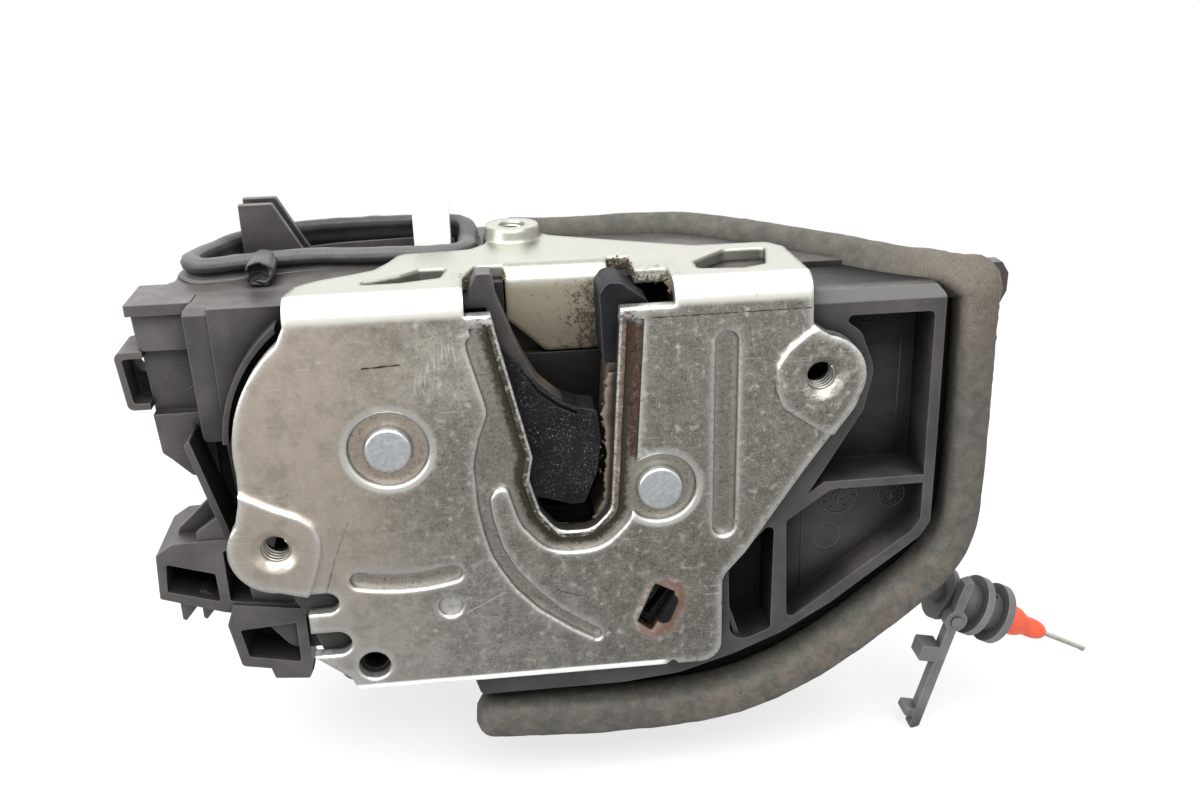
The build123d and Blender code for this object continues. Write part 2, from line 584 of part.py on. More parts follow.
# Rear housing: a tray open at the back, closed by the cover
HOUSING_EDGE = [
    (-75.4, 13.2, 1), (-75.4, 22.6, 2), (-69.6, 25.0, 2), (-70.0, 31.0, 4), (-67.2, 39.0, 5),
    (-62.0, 45.4, 5), (-53.0, 50.6, 6), (-43.0, HOUSING_BACK, 6), (-6.0, HOUSING_BACK, 5),
    (3.0, 50.6, 6), (15.5, 50.6, 6), (27.0, 48.8, 6), (36.8, 43.0), (44.0, 36.2),
    (50.8, 29.7), (57.6, 23.3), (67.0, 14.6, 4), (69.4, 12.4, 1), (69.0, 0.0), (-60.0, 0.0)]
BODY_EDGE = [(-70.6, HOUSING_TOP), (66.0, HOUSING_TOP, 1), (66.0, -12.0, 3), (48.0, -27.0),
             (30.0, -36.0, 8), (16.0, -38.0, 4), (-56.0, -38.0, 4), (-62.0, -30.0, 4),
             (-66.0, 0.0, 6), (-73.0, 8.0, 2)]


def housing_inside(shrink):
    """The housing's room, smaller than the outside by a margin."""
    plan = offset(outline(HOUSING_EDGE), -shrink, kind=Kind.INTERSECTION)
    front = offset(outline(BODY_EDGE), -shrink, kind=Kind.INTERSECTION)
    return sheet(plan, -100, 100) & slab(front, FLOOR, 200)


def lock_housing():
    body = sheet(outline(HOUSING_EDGE), -100, 100) & slab(outline(BODY_EDGE), CARRIER_BACK,
                                                          HOUSING_BACK)
    body += side_block()
    body -= housing_inside(WALL) & box(-200, 200, FLOOR, HOUSING_BACK, -100, 100)
    body -= slab(offset(outline(BODY_EDGE), -WALL, kind=Kind.INTERSECTION)
                 & Pos(-20, 0) * Rectangle(76, 300), 40, HOUSING_BACK + 1)
    opening = offset(outline(LOOP_POINTS), -LOOP_R - GAP, kind=Kind.ARC)
    body -= sheet(opening, HOUSING_TOP - WALL - 1, 100)
    body += twin_ribs()
    for x, z in PIN_PLACES:
        body += disc(x, z, PIN_R, FLOOR - 0.1, PIN_END)
    body += motor_cradle() + slider_rails() + inner_stands()
    body -= box(TONGUE_LEFT - 0.4, TONGUE_RIGHT + 0.4, 0, CARRIER_BACK + BEND_OUT, BEND_Z - 1, 50)
    x, y = FIX_TOP
    body -= Pos(x, y, HOUSING_TOP) * Cylinder(TAP_R + 1.0, 8)
    body -= disc(ROTOR_X, ROTOR_Z, ROTOR_R + RUNNING, 0, 30)
    for x, z in FIX_LEFT, FIX_RIGHT:
        body -= disc(x, z, TAP_R + 1.0, 0, CARRIER_BACK + 1.2)
    body -= strand_room()
    body -= loop_seal()
    return body - left_block()


def side_block():
    """The ledged block at the far left, under an overhanging top plate."""
    face = outline([(-74.9, 34.2), (-64.0, 34.2), (-64.0, 2.0), (-68.9, 3.2, 1), (-72.0, 6.5, 1),
                    (-73.5, 7.9, 1), (-74.0, 16.0)])
    body = slab(face, 13.0, CARRIER_BACK + 8)
    body += box(-75.6, -60.0, 12.0, 24.0, 34.1, HOUSING_TOP)
    body -= box(-80, -65.4, 12.0, 15.0, 15.4, 27.4)
    return body


def twin_ribs():
    """Two sloping ribs standing up inside the seal's loop."""
    body = None
    for y in (38.0, 43.6):
        rib = slab(outline([(-59.2, 46.6), (-53.0, 46.6, 0.5), (-48.4, 38.0), (-45.0, 32.0),
                            (-59.2, 32.0)]), y, y + 1.6)
        body = rib if body is None else body + rib
    return body + box(-59.2, -45.0, 38.0, 53.0, 30.6, 32.4)


PIN_END = 44.0
WHEEL_Z = MOTOR_Z + WORM_R + WHEEL_R + 0.2
LEVER_AT = (34.0, 10.0)
INSIDE_AT = (-23.4, 24.0)
PIN_PLACES = [(WHEEL_X, WHEEL_Z), LEVER_AT, INSIDE_AT]


def motor_cradle():
    """Two saddles that hold the motor."""
    body = None
    for x in (-48.0, -28.0):
        saddle = box(x, x + 3, FLOOR - 0.1, MOTOR_Y + 2, MOTOR_Z - MOTOR_R - 2, MOTOR_Z + MOTOR_R + 2)
        saddle -= rod(MOTOR_Y, MOTOR_Z, MOTOR_R, -90, 90)
        saddle -= box(x - 1, x + 4, MOTOR_Y, MOTOR_Y + 9, MOTOR_Z - 9, MOTOR_Z + 9)
        body = saddle if body is None else body + saddle
    end = box(6.0, 8.0, FLOOR - 0.1, MOTOR_Y + 4, MOTOR_Z - 4, MOTOR_Z + 4)
    return body + end - rod(MOTOR_Y, MOTOR_Z, 1.0 + RUNNING, 0, 20)


SLIDER_Z = WHEEL_Z + WHEEL_R + 4.0
SLIDE_LONG = 34.0


def slider_rails():
    """Rails that guide the lock slider."""
    low = box(-22, 24, FLOOR - 0.1, FLOOR + 5.0, SLIDER_Z - 5.4, SLIDER_Z - 3.1)
    high = box(-5, 24, FLOOR - 0.1, FLOOR + 5.0, SLIDER_Z + 3.1, SLIDER_Z + 5.4)
    return low + high


def inner_stands():
    """Posts that carry the circuit plate and the switches."""
    body = None
    for x, z in BOARD_POSTS:
        post = disc(x, z, 2.6, FLOOR - 0.1, BOARD_FRONT)
        body = post if body is None else body + post
    return body


BOARD_FRONT = 46.0
BOARD_POSTS = [(-44.0, -4.0), (-44.0, 25.0), (2.0, -27.6), (13.0, 25.0)]


def rear_cover():
    face = outline([(-56.0, 34.0, 3), (16.0, 34.0, 3), (17.0, -30.0, 4), (10.0, -36.0, 3),
                    (-54.0, -36.0, 4), (-57.0, -28.0, 4)])
    body = slab(face, HOUSING_BACK, HOUSING_BACK + COVER)
    body += slab(outline([(-44, -8, 3), (-10, -8, 3), (-10, -31, 3), (-44, -31, 3)]),
                 HOUSING_BACK + COVER - 0.1, HOUSING_BACK + COVER + 2.0)
    for x, z in SCREW_PLACES:
        body += disc(x, z, 3.6, HOUSING_BACK, HOUSING_BACK + COVER + 1.2)
        body -= disc(x, z, 1.4, 0, 90)
    return body


SCREW_PLACES = [(-52.0, 29.0), (12.0, 29.0), (-51.0, -31.0), (11.0, -30.0)]


def housing_screws():
    """Screws that hold the cover on."""
    screws = []
    for x, z in SCREW_PLACES:
        back = HOUSING_BACK + COVER + 1.2
        screw = disc(x, z, 1.4, HOUSING_BACK - 0.01, back)
        screw += disc(x, z, 2.8, back, back + 1.6)
        cross = Rectangle(3.0, 0.8) + Rectangle(0.8, 3.0)
        screws.append(screw - slab(Pos(x, z) * cross, back + 0.8, back + 3))
    return Compound(children=screws)


# Small mechanism pieces in the rear housing
def motor():
    body = rod(MOTOR_Y, MOTOR_Z, MOTOR_R, -50.0, -24.0)
    body &= box(-60, 0, MOTOR_Y - MOTOR_R, MOTOR_Y + MOTOR_R, MOTOR_Z - 8.0, MOTOR_Z + 8.0)
    body += rod(MOTOR_Y, MOTOR_Z, 3.4, -24.01, -22.4)
    return body - rod(MOTOR_Y, MOTOR_Z, 1.0 + RUNNING, -30, 0)


def motor_worm():
    body = rod(MOTOR_Y, MOTOR_Z, 1.0, -29.0, 7.6)
    body += rod(MOTOR_Y, MOTOR_Z, WORM_R, -16.0, 5.6)
    for i in range(9):
        body -= rod(MOTOR_Y, MOTOR_Z, WORM_R + 1, -14.6 + 2.4 * i, -13.4 + 2.4 * i) - rod(
            MOTOR_Y, MOTOR_Z, WORM_R - 0.7, -30, 30)
    return body


def worm_wheel():
    front = MOTOR_Y - WHEEL_THICK / 2
    root = WHEEL_R - 1.6
    tooth = 360 / WHEEL_TEETH
    points = []
    for i in range(WHEEL_TEETH):
        for share, radius in ((-0.30, root), (-0.14, WHEEL_R), (0.14, WHEEL_R), (0.30, root)):
            points.append(around(WHEEL_X, WHEEL_Z, radius, (i + share) * tooth))
    body = slab(outline(points), front, front + WHEEL_THICK)
    body -= disc(WHEEL_X, WHEEL_Z, root - 2.0, front + 4.0, 60)
    body += disc(WHEEL_X, WHEEL_Z, 4.6, FLOOR + RUNNING, 42.0)
    body += disc(WHEEL_X + 7.2, WHEEL_Z, 1.4, 26.0, front + 5)
    return body - disc(WHEEL_X, WHEEL_Z, PIN_R + RUNNING, 0, 90)


def lock_slider():
    body = box(-20, -20 + SLIDE_LONG, FLOOR + RUNNING, FLOOR + 4.0, SLIDER_Z - 3.0, SLIDER_Z + 3.0)
    body += box(-20, -14.4, FLOOR + RUNNING, FLOOR + 4.0, SLIDER_Z + 2.9, SLIDER_Z + 8.0)
    body -= box(-8, 2, 0, 60, SLIDER_Z - 1.2, SLIDER_Z + 1.2)
    return body


def release_lever():
    x, z = LEVER_AT
    face = make_hull([Pos(x, z) * Circle(5).edge(), Pos(x - 6, z - 24) * Circle(2.6).edge()])
    arm = make_hull([Pos(x, z) * Circle(4.4).edge(), Pos(x + 10, z + 12) * Circle(3).edge()])
    body = slab(face + arm, FLOOR + RUNNING, FLOOR + 2.2)
    body += disc(x, z, 4.0, FLOOR + 2.1, FLOOR + 6.0)
    return body - disc(x, z, PIN_R + RUNNING, 0, 90)


def inside_lever():
    x, z = INSIDE_AT
    body = slab(outline([(x - 4.4, z - 3), (x + 4.4, z - 3), (x + 3.0, 37.0), (x - 3.0, 37.0)], 2),
                39.4, 42.6)
    body += disc(x, z, 5.0, 37.0, 42.6)
    body += disc(x, z, 3.6, FLOOR + RUNNING, 37.1)
    block = box(x - 3.5, x + 3.5, 37.6, 44.2, 33.0, 44.8)
    block = fillet(block.edges().filter_by(Axis.Y), 0.8)
    return body + block - disc(x, z, PIN_R + RUNNING, 0, 90)


def circuit_plate():
    face = outline([(-47, 29, 2), (17, 29, 2), (18, 10), (18, -29, 2), (-6, -29), (-10, -12, 3),
                    (-47, -12, 2)])
    body = slab(face, BOARD_FRONT, BOARD_FRONT + 1.6)
    return body - box(-38, -14, 40, 60, 14, 34)


def switch(x, z):
    """A small sealed switch standing on the circuit plate's front."""
    body = box(x, x + 12, BOARD_FRONT - 5.6, BOARD_FRONT, z, z + 6)
    return body + box(x + 4, x + 6, BOARD_FRONT - 6.6, BOARD_FRONT - 5.5, z + 2, z + 4)


def contact_pins():
    pins = []
    for i in range(6):
        x = -38 + 3.0 * i
        pins.append(box(x, x + 1.0, BOARD_FRONT - 7, BOARD_FRONT, -9.0, -8.2))
    return Compound(children=pins)


# Plastic guides at the far left
def rod_guide():
    """The small square socket with a round hole through its floor."""
    tube = slab(outline([(-78.9, 27.4, 1.2), (-74.0, 27.6), (-74.0, 16.6), (-77.9, 16.6, 1.2)]),
                12.6, 22.0)
    tube -= slab(outline([(-77.7, 26.2, 0.6), (-72.0, 26.4), (-72.0, 17.8), (-76.8, 17.8, 0.6)]),
                 10, 18.0)
    return tube - disc(-75.3, 23.6, 1.7, 0, 40) - side_block()


def lever_guard():
    """The box and ribs at the lower left."""
    shell = slab(outline([(-79.0, -14.6, 0.6), (-79.6, -24.0, 0.6), (-68.0, -28.0), (-56.0, -30.6),
                          (-52.0, -30.0), (-52.0, -12.0), (-62.0, -12.0), (-75.6, -12.4, 1)]),
                 16.0, 32.0)
    shell -= slab(outline([(-77.4, -16.6, 0.5), (-68.6, -19.4, 0.5), (-68.4, -25.6, 0.5),
                           (-78.0, -22.6, 0.5)]), 10, 29.0)
    hollow = slab(outline([(-66.6, -14.4), (-54.4, -17.4), (-54.4, -27.4), (-66.6, -25.6)], 0.6),
                  10, 24.0)
    ribs = slab(outline([(-75.4, -12.6), (-74.8, -11.0), (-66.6, -3.4), (-65.4, -4.2),
                         (-65.4, -12.6)]), 20.0, 21.4)
    ribs += slab(outline([(-71.0, -12.6), (-71.0, -10.6), (-65.4, -6.6), (-65.4, -12.6)]), 16.4, 17.8)
    for x in (-76.6, -72.6):
        ribs += slab(outline([(x, -24.0), (x + 1.2, -24.0), (x + 4.0, -26.4), (x + 0.6, -30.4),
                              (x, -30.0)]), 18.0, 22.0)
    lower = slab(outline([(-67.6, -30.4), (-66.0, -40.0, 1), (-52.6, -42.6, 1), (-52.6, -28.0),
                          (-66.0, -26.0)]), 15.0, 30.0)
    lower -= slab(outline([(-65.4, -31.8), (-64.4, -38.0), (-54.6, -40.0), (-54.6, -31.0)], 0.4), 10, 24)
    foot = slab(outline([(-60.6, -41.0), (-60.0, -43.4, 0.5), (-53.4, -44.0, 0.5), (-52.4, -42.0)]),
                15.0, 22.0)
    body = shell + ribs + lower + foot
    body += box(-66.0, -50.6, 17.0, 30.0, -27.0, -14.0)
    body -= hollow
    inner = sheet(outline(HOUSING_EDGE), -100, 100)
    inner &= slab(outline(BODY_EDGE), CARRIER_BACK, HOUSING_BACK)
    return body - inner - slab(carrier_face(HOUSING_TOP), SHEET, CARRIER_BACK)


# Foam rubber seals
def door_seal():
    """The seal that runs below, up the right side and back along the top."""
    low = Spline((-17.4, -49.0), (0.0, -49.9), (18.0, -49.8), (30.0, -48.2), (40.0, -44.4),
                 (50.0, -38.4), (60.0, -30.6), (68.8, -22.6), (73.0, -15.0), (73.9, -5.0),
                 (73.8, 8.0), (73.5, 22.0), (73.3, 33.0))
    face = trace(low, line_width=SEAL_WIDE) + Pos(-17.4, -49.0) * Circle(SEAL_WIDE / 2)
    face += Pos(73.3, 33.0) * Rectangle(SEAL_WIDE, SEAL_WIDE)
    front = slab(face, SEAL_FRONT, SEAL_BACK)
    back = sheet(strand_face(TOP_STRAND), STRAND_LOW, STRAND_LOW + TOP_STRAND)
    back = chamfer(back.edges().group_by(Axis.Z)[-1], 1.6)
    back -= prism([(-5.0, 36.6), (12.0, 38.7), (12.0, 45.0), (-5.0, 45.0)], 60.0, 90.0)
    return front + back


STRAND_LOW = 30.8


def strand_face(wide):
    """The seal's top strand in X and Y."""
    route = Spline((72.6, 5.0), (67.2, 9.4), (61.6, 13.2), (54.7, 20.3), (41.2, 33.3),
                   (34.0, 39.8), (26.0, 45.2), (15.0, 47.2), (4.0, 47.6), (-8.0, 50.4))
    return trace(route, line_width=wide)


def strand_room():
    """The room cut for the top strand in the carrier and the housing."""
    return sheet(strand_face(TOP_STRAND + 2 * GAP), STRAND_LOW, 60)


LOOP_POINTS = [
    (-16.9, 38.0), (-17.1, 34.0), (-20.5, 30.9), (-28.0, 30.2), (-36.4, 30.0), (-45.2, 30.6),
    (-51.0, 29.4), (-57.8, 27.4), (-64.2, 25.4), (-66.9, 28.4), (-66.6, 32.0), (-64.3, 37.5),
    (-60.3, 42.8), (-51.5, 47.3), (-42.5, 50.0), (-28.4, 51.4), (-19.5, 51.0), (-16.8, 46.4)]
LOOP_RISE = 1.4 / 52
LOOP_Z = 36.4


def loop_seal():
    """The thinner foam strand around the opening at the top left."""
    points = [(x, y, LOOP_Z + (-15 - x) * LOOP_RISE) for x, y in LOOP_POINTS]
    route = Spline(*points, periodic=True)
    start = Plane(route @ 0, z_dir=route % 0)
    return sweep(start * Circle(LOOP_R), route)


STUB_R = 2.4


def seal_stub():
    """The cut end of the strand, which faces forward."""
    z = HOUSING_TOP + STUB_R
    body = Pos(-53.6, 23.0, z) * Rot(90, 0, 0) * Cylinder(STUB_R, 8.0)
    body = fillet(body.edges().sort_by(Axis.Y)[0], 0.6)
    strip = slab(outline([(-54.4, z), (-52.0, z), (-50.6, HOUSING_TOP), (-53.4, HOUSING_TOP)]),
                 19.4, 20.6)
    return body + strip - loop_seal()


def corner_clip():
    """The chamfered plastic tab behind the seal's upper corner."""
    body = slab(outline([(68.2, 27.0), (80.4, 27.0, 0.5), (81.8, 30.0, 0.5), (81.8, 33.4, 0.5),
                         (80.4, 35.6, 0.5), (68.2, 35.6)]), 12.0, 15.0)
    return body - door_seal()


# Cable-end fitting at the lower right
def tipped(shape):
    x, y, z = FITTING_AT
    return Pos(x, y, z) * Rot(0, FITTING_TIP, 0) * shape


def round_x(radius, left, right):
    """A round along the fitting's own axis."""
    return rod(0, 0, radius, left, right)


FITTING_START = 3.4
DISCS = (11.2, 16.4)
FITTING_END = DISCS[1] + DISC
FITTING_BORE = 1.3
SLEEVE_END = 30.4
WIRE_END = 41.4


def cable_conduit():
    body = round_x(CONDUIT_R, -17.5, FITTING_START)
    return tipped(body - round_x(WIRE_R, FITTING_START - 3.0, 50))


def cable_fitting():
    body = round_x(FITTING_R, FITTING_START, FITTING_END - 0.1)
    for place in DISCS:
        body += round_x(FITTING_DISC_R, place, place + DISC)
    collar = round_x(COLLAR_DISC_R, FITTING_START, FITTING_START + 1.2)
    body += collar - Pos(0, -FITTING_R - 5, 0) * Box(60, 10, 30)
    middle = (DISCS[0] + DISC + DISCS[1]) / 2
    body -= Pos(middle, 0, 0) * Box(2.0, 3.0, 20)
    body = tipped(body - round_x(FITTING_BORE, 0, 50))
    x, z = LID_AT
    return body + disc(x, z, LID_PIN_R, LID_FRONT - 0.4, LID_FRONT + LID_WIDE + 0.6)


def cable_sleeve():
    """The red stepped sleeve on the wire where it leaves the fitting."""
    profile = [(FITTING_START, FITTING_BORE), (FITTING_END, FITTING_BORE), (FITTING_END, SLEEVE_R),
               (FITTING_END + 1.8, SLEEVE_R), (FITTING_END + 2.4, SLEEVE_R - 0.5),
               (FITTING_END + 6.2, SLEEVE_R - 0.5), (FITTING_END + 7.6, 1.7), (SLEEVE_END, 1.25),
               (SLEEVE_END, WIRE_R), (FITTING_START, WIRE_R)]
    face = make_face(Polyline(*[(x, 0, z) for x, z in profile], close=True))
    return tipped(revolve(face, Axis.X, 360))


def release_wire():
    """The cut end of the release wire."""
    return tipped(round_x(WIRE_R, FITTING_START - 3.0, WIRE_END))


LID_AT = (76.7, -38.2)
LID_PIN_R = 1.1
LID_FRONT = 7.2


def fitting_lid():
    """The hinged bar of the fitting, hanging down, with its block and its hook."""
    x, z = LID_AT
    bar = outline([(77.7, -29.6), (79.9, -29.0, 0.5), (70.9, -63.2, 0.6), (68.6, -63.8, 0.6)])
    body = slab(bar + Pos(x, z) * Circle(2.3), LID_FRONT, LID_FRONT + LID_WIDE)
    block = outline([(70.2, -43.4, 0.4), (74.0, -44.2), (73.4, -47.6), (69.4, -46.8, 0.4)])
    body += slab(block, LID_FRONT, LID_FRONT + LID_WIDE + 2.0)
    hook = outline([(68.0, -58.6), (71.4, -59.4), (70.8, -61.0), (67.4, -60.2)], 0.3)
    body += slab(hook, LID_FRONT, LID_FRONT + LID_WIDE + 1.6)
    return body - disc(x, z, LID_PIN_R + RUNNING, 0, 30)


NODES = {
    "latch_plate": latch_plate,
    "backing_plate": backing_plate,
    "catch_core": catch_core,
    "catch_jacket": catch_jacket,
    "pawl_core": pawl_core,
    "pawl_jacket": pawl_jacket,
    "catch_pivot": lambda: pivot(CATCH_X, CATCH_Z),
    "pawl_pivot": lambda: pivot(PAWL_X, PAWL_Z),
    "catch_spring": lambda: torsion_spring(CATCH_X, CATCH_Z, 5.4, 0.75, ((60, 2.0), (0, 2.0))),
    "pawl_spring": lambda: torsion_spring(PAWL_X, PAWL_Z, 5.4, 0.75, ((60, 2.0), (0, 2.0))),
    "slot_buffer": slot_buffer,
    "slot_liner": slot_liner,
    "latch_carrier": latch_carrier,
    "emergency_rotor": emergency_rotor,
    "lock_housing": lock_housing,
    "rear_cover": rear_cover,
    "housing_screws": housing_screws,
    "motor": motor,
    "motor_worm": motor_worm,
    "worm_wheel": worm_wheel,
    "lock_slider": lock_slider,
    "release_lever": release_lever,
    "inside_lever": inside_lever,
    "circuit_plate": circuit_plate,
    "catch_switch": lambda: switch(-12, 16),
    "pawl_switch": lambda: switch(2, 16),
    "contact_pins": contact_pins,
    "rod_guide": rod_guide,
    "lever_guard": lever_guard,
    "door_seal": door_seal,
    "loop_seal": loop_seal,
    "seal_stub": seal_stub,
    "corner_clip": corner_clip,
    "cable_conduit": cable_conduit,
    "cable_fitting": cable_fitting,
    "cable_sleeve": cable_sleeve,
    "release_wire": release_wire,
    "fitting_lid": fitting_lid,
}

if __name__ == "__main__":
    os.makedirs("parts", exist_ok=True)
    for name, build in NODES.items():
        export_step(build(), f"parts/{name}.step")
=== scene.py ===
"""A used car door lock on a white table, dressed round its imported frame."""

import logging
import math
import random
from dataclasses import dataclass
from enum import Enum

import bmesh
import bpy
from mathutils import Matrix, Vector, noise


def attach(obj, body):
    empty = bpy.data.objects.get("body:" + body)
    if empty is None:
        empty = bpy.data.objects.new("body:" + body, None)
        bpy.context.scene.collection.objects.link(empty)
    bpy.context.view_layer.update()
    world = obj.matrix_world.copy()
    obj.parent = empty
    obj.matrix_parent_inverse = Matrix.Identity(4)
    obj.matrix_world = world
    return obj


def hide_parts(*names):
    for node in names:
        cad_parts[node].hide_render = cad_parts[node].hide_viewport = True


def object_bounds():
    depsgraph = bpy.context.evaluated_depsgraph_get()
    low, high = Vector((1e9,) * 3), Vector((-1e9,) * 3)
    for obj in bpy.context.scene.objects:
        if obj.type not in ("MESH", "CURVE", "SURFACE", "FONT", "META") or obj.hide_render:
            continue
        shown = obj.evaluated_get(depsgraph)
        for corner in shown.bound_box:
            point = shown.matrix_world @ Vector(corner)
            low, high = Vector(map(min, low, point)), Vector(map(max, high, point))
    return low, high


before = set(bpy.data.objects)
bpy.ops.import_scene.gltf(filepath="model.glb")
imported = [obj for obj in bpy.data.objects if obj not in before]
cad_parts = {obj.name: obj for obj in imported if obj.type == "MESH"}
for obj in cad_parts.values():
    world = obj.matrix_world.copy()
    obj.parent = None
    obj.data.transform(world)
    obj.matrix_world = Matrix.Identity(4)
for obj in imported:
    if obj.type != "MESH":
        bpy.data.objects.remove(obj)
CAD_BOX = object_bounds()

LOG = logging.getLogger("door_lock")
MM = 0.001
SUNK = 0.05  # how deep a raised mark's foot stands in its surface

Point = tuple[float, float, float]
Flat = tuple[float, float]
Colour = tuple[float, float, float]


# Places and sizes shared with the source, in millimetres
CATCH_PIVOT: Flat = (-32.4, 11.4)
PAWL_PIVOT: Flat = (15.0, 0.5)
FIX_LEFT: Flat = (-53.6, -6.5)
FIX_RIGHT: Flat = (43.8, 20.1)
FIX_TOP: Flat = (-8.0, 36.2)
TAP_R = 2.5
SLOT_EDGE: tuple[Flat, ...] = (
    (-14.4, 38.6), (-7.6, 8.0), (-8.4, 3.6), (-6.6, -3.0), (-3.4, -7.2), (2.6, -7.2), (6.2, -3.4),
    (8.6, 38.6))


class Node(str, Enum):
    """CAD nodes that a strand or the wire stands for."""

    DOOR_SEAL = "door_seal"
    LOOP_SEAL = "loop_seal"
    SEAL_STUB = "seal_stub"
    RELEASE_WIRE = "release_wire"


class Body(str, Enum):
    """The body that every added piece rides."""

    FRAME = "frame"


def rgba(colour: Colour) -> tuple[float, float, float, float]:
    """The colour with full cover."""
    return (*colour, 1.0)


def place(x: float, y: float, z: float) -> Vector:
    """A point given in millimetres."""
    return Vector((x, y, z)) * MM


# Shader building
class Net:
    """The nodes of one material."""

    def __init__(self, name: str) -> None:
        """Starts a material with one Principled shader.

        Args:
            name: The material's name.
        """
        self.material = bpy.data.materials.new(name)
        self.material.use_nodes = True
        self.tree = self.material.node_tree
        self.shader = self.tree.nodes["Principled BSDF"]
        self.colour: object = None
        self.where = self.add("ShaderNodeTexCoord").outputs["Object"]
        split = self.add("ShaderNodeSeparateXYZ")
        self.feed(split.inputs[0], self.where)
        self.x, self.y, self.z = (self.calc("MULTIPLY", split.outputs[axis], 1.0 / MM) for axis in "XYZ")

    def add(self, kind: str, **settings: object) -> bpy.types.Node:
        """Adds a node.

        Args:
            kind: The node's type.
            settings: Properties to set on it.

        Returns:
            The new node.
        """
        node = self.tree.nodes.new(kind)
        for key, value in settings.items():
            setattr(node, key, value)
        return node

    def feed(self, socket: bpy.types.NodeSocket, value: object) -> None:
        """Links a socket, or sets its value.

        Args:
            socket: The input.
            value: A socket to link, or a plain value.
        """
        if isinstance(value, bpy.types.NodeSocket):
            self.tree.links.new(value, socket)
        elif isinstance(value, tuple) and len(value) == 3 and socket.type == "RGBA":
            socket.default_value = rgba(value)
        else:
            socket.default_value = value

    def calc(self, kind: str, first: object, second: object = 0.0, third: object = 0.0,
             clamp: bool = False) -> bpy.types.NodeSocket:
        """One arithmetic step.

        Args:
            kind: The operation's name.
            first: First value.
            second: Second value.
            third: Third value, where the operation takes one.
            clamp: Whether the result is kept between 0 and 1.

        Returns:
            The result.
        """
        node = self.add("ShaderNodeMath", operation=kind, use_clamp=clamp)
        for socket, value in zip(node.inputs, (first, second, third)):
            self.feed(socket, value)
        return node.outputs[0]

    def times(self, first: object, *others: object) -> bpy.types.NodeSocket:
        """The values multiplied.

        Args:
            first: First factor.
            others: The other factors.

        Returns:
            The product.
        """
        for other in others:
            first = self.calc("MULTIPLY", first, other)
        return first

    def step(self, value: object, low: float, high: float) -> bpy.types.NodeSocket:
        """0 below low, 1 above high, smooth between; low may be the larger.

        Args:
            value: The value that is judged.
            low: Where the result is 0.
            high: Where it is 1.

        Returns:
            The share.
        """
        node = self.add("ShaderNodeMapRange", interpolation_type="SMOOTHSTEP")
        self.feed(node.inputs["Value"], value)
        flip = low > high
        node.inputs["From Min"].default_value = min(low, high)
        node.inputs["From Max"].default_value = max(low, high)
        node.inputs["To Min"].default_value = 1.0 if flip else 0.0
        node.inputs["To Max"].default_value = 0.0 if flip else 1.0
        return node.outputs["Result"]

    def within(self, value: object, low: float, high: float, soft: float) -> bpy.types.NodeSocket:
        """1 between low and high, falling to 0 over a soft margin."""
        return self.times(self.step(value, low - soft, low), self.step(value, high + soft, high))

    def blend(self, share: object, first: object, second: object) -> bpy.types.NodeSocket:
        """Mixes two colours.

        Args:
            share: How much of the second.
            first: First colour.
            second: Second colour.

        Returns:
            The mixed colour.
        """
        node = self.add("ShaderNodeMix", data_type="RGBA")
        self.feed(node.inputs["Factor"], share)
        self.feed(node.inputs[6], first)
        self.feed(node.inputs[7], second)
        return node.outputs[2]

    def lay(self, paint: object, *shares: object) -> None:
        """Lays paint over the colour so far, by the product of the shares."""
        self.colour = self.blend(self.times(*shares), self.colour, paint)

    def stretched(self, scale: Point, turn: float = 0.0) -> bpy.types.NodeSocket:
        """Object coordinates stretched along each axis and turned about Y.

        Args:
            scale: Stretch along X, Y and Z.
            turn: Turn about Y in radians.

        Returns:
            The coordinates.
        """
        mapping = self.add("ShaderNodeMapping")
        mapping.inputs["Scale"].default_value = scale
        mapping.inputs["Rotation"].default_value = (0.0, turn, 0.0)
        self.feed(mapping.inputs["Vector"], self.where)
        return mapping.outputs["Vector"]

    def noise(self, size: float, detail: float = 3.0, rough: float = 0.55, bend: float = 0.0,
              where: bpy.types.NodeSocket | None = None) -> bpy.types.NodeSocket:
        """Cloudy noise.

        Args:
            size: The clouds' size in millimetres.
            detail: Octaves.
            rough: How strong the small octaves are.
            bend: Distortion.
            where: Coordinates, when not the object's own.

        Returns:
            The noise's value.
        """
        node = self.add("ShaderNodeTexNoise")
        self.feed(node.inputs["Vector"], where or self.where)
        node.inputs["Scale"].default_value = 1.0 / (size * MM)
        node.inputs["Detail"].default_value = detail
        node.inputs["Roughness"].default_value = rough
        node.inputs["Distortion"].default_value = bend
        return node.outputs["Fac"]

    def spots(self, low: float, high: float, *cloud: object) -> bpy.types.NodeSocket:
        """Patches of cloudy noise: 0 where it is below low, 1 where it is above high."""
        return self.step(self.noise(*cloud), low, high)

    def cells(self, size: float) -> bpy.types.NodeSocket:
        """Distance to the nearest of scattered points a size apart in millimetres.

        Args:
            size: Spacing of the points.

        Returns:
            The distance.
        """
        node = self.add("ShaderNodeTexVoronoi")
        self.feed(node.inputs["Vector"], self.where)
        node.inputs["Scale"].default_value = 1.0 / (size * MM)
        return node.outputs["Distance"]

    def length(self, across: object, up: object) -> bpy.types.NodeSocket:
        """Length of a flat step."""
        return self.calc("SQRT", self.calc("ADD", self.times(across, across), self.times(up, up)))

    def away(self, centre: Flat) -> bpy.types.NodeSocket:
        """Distance in X and Z from a point, in millimetres."""
        return self.length(self.calc("SUBTRACT", self.x, centre[0]),
                           self.calc("SUBTRACT", self.z, centre[1]))

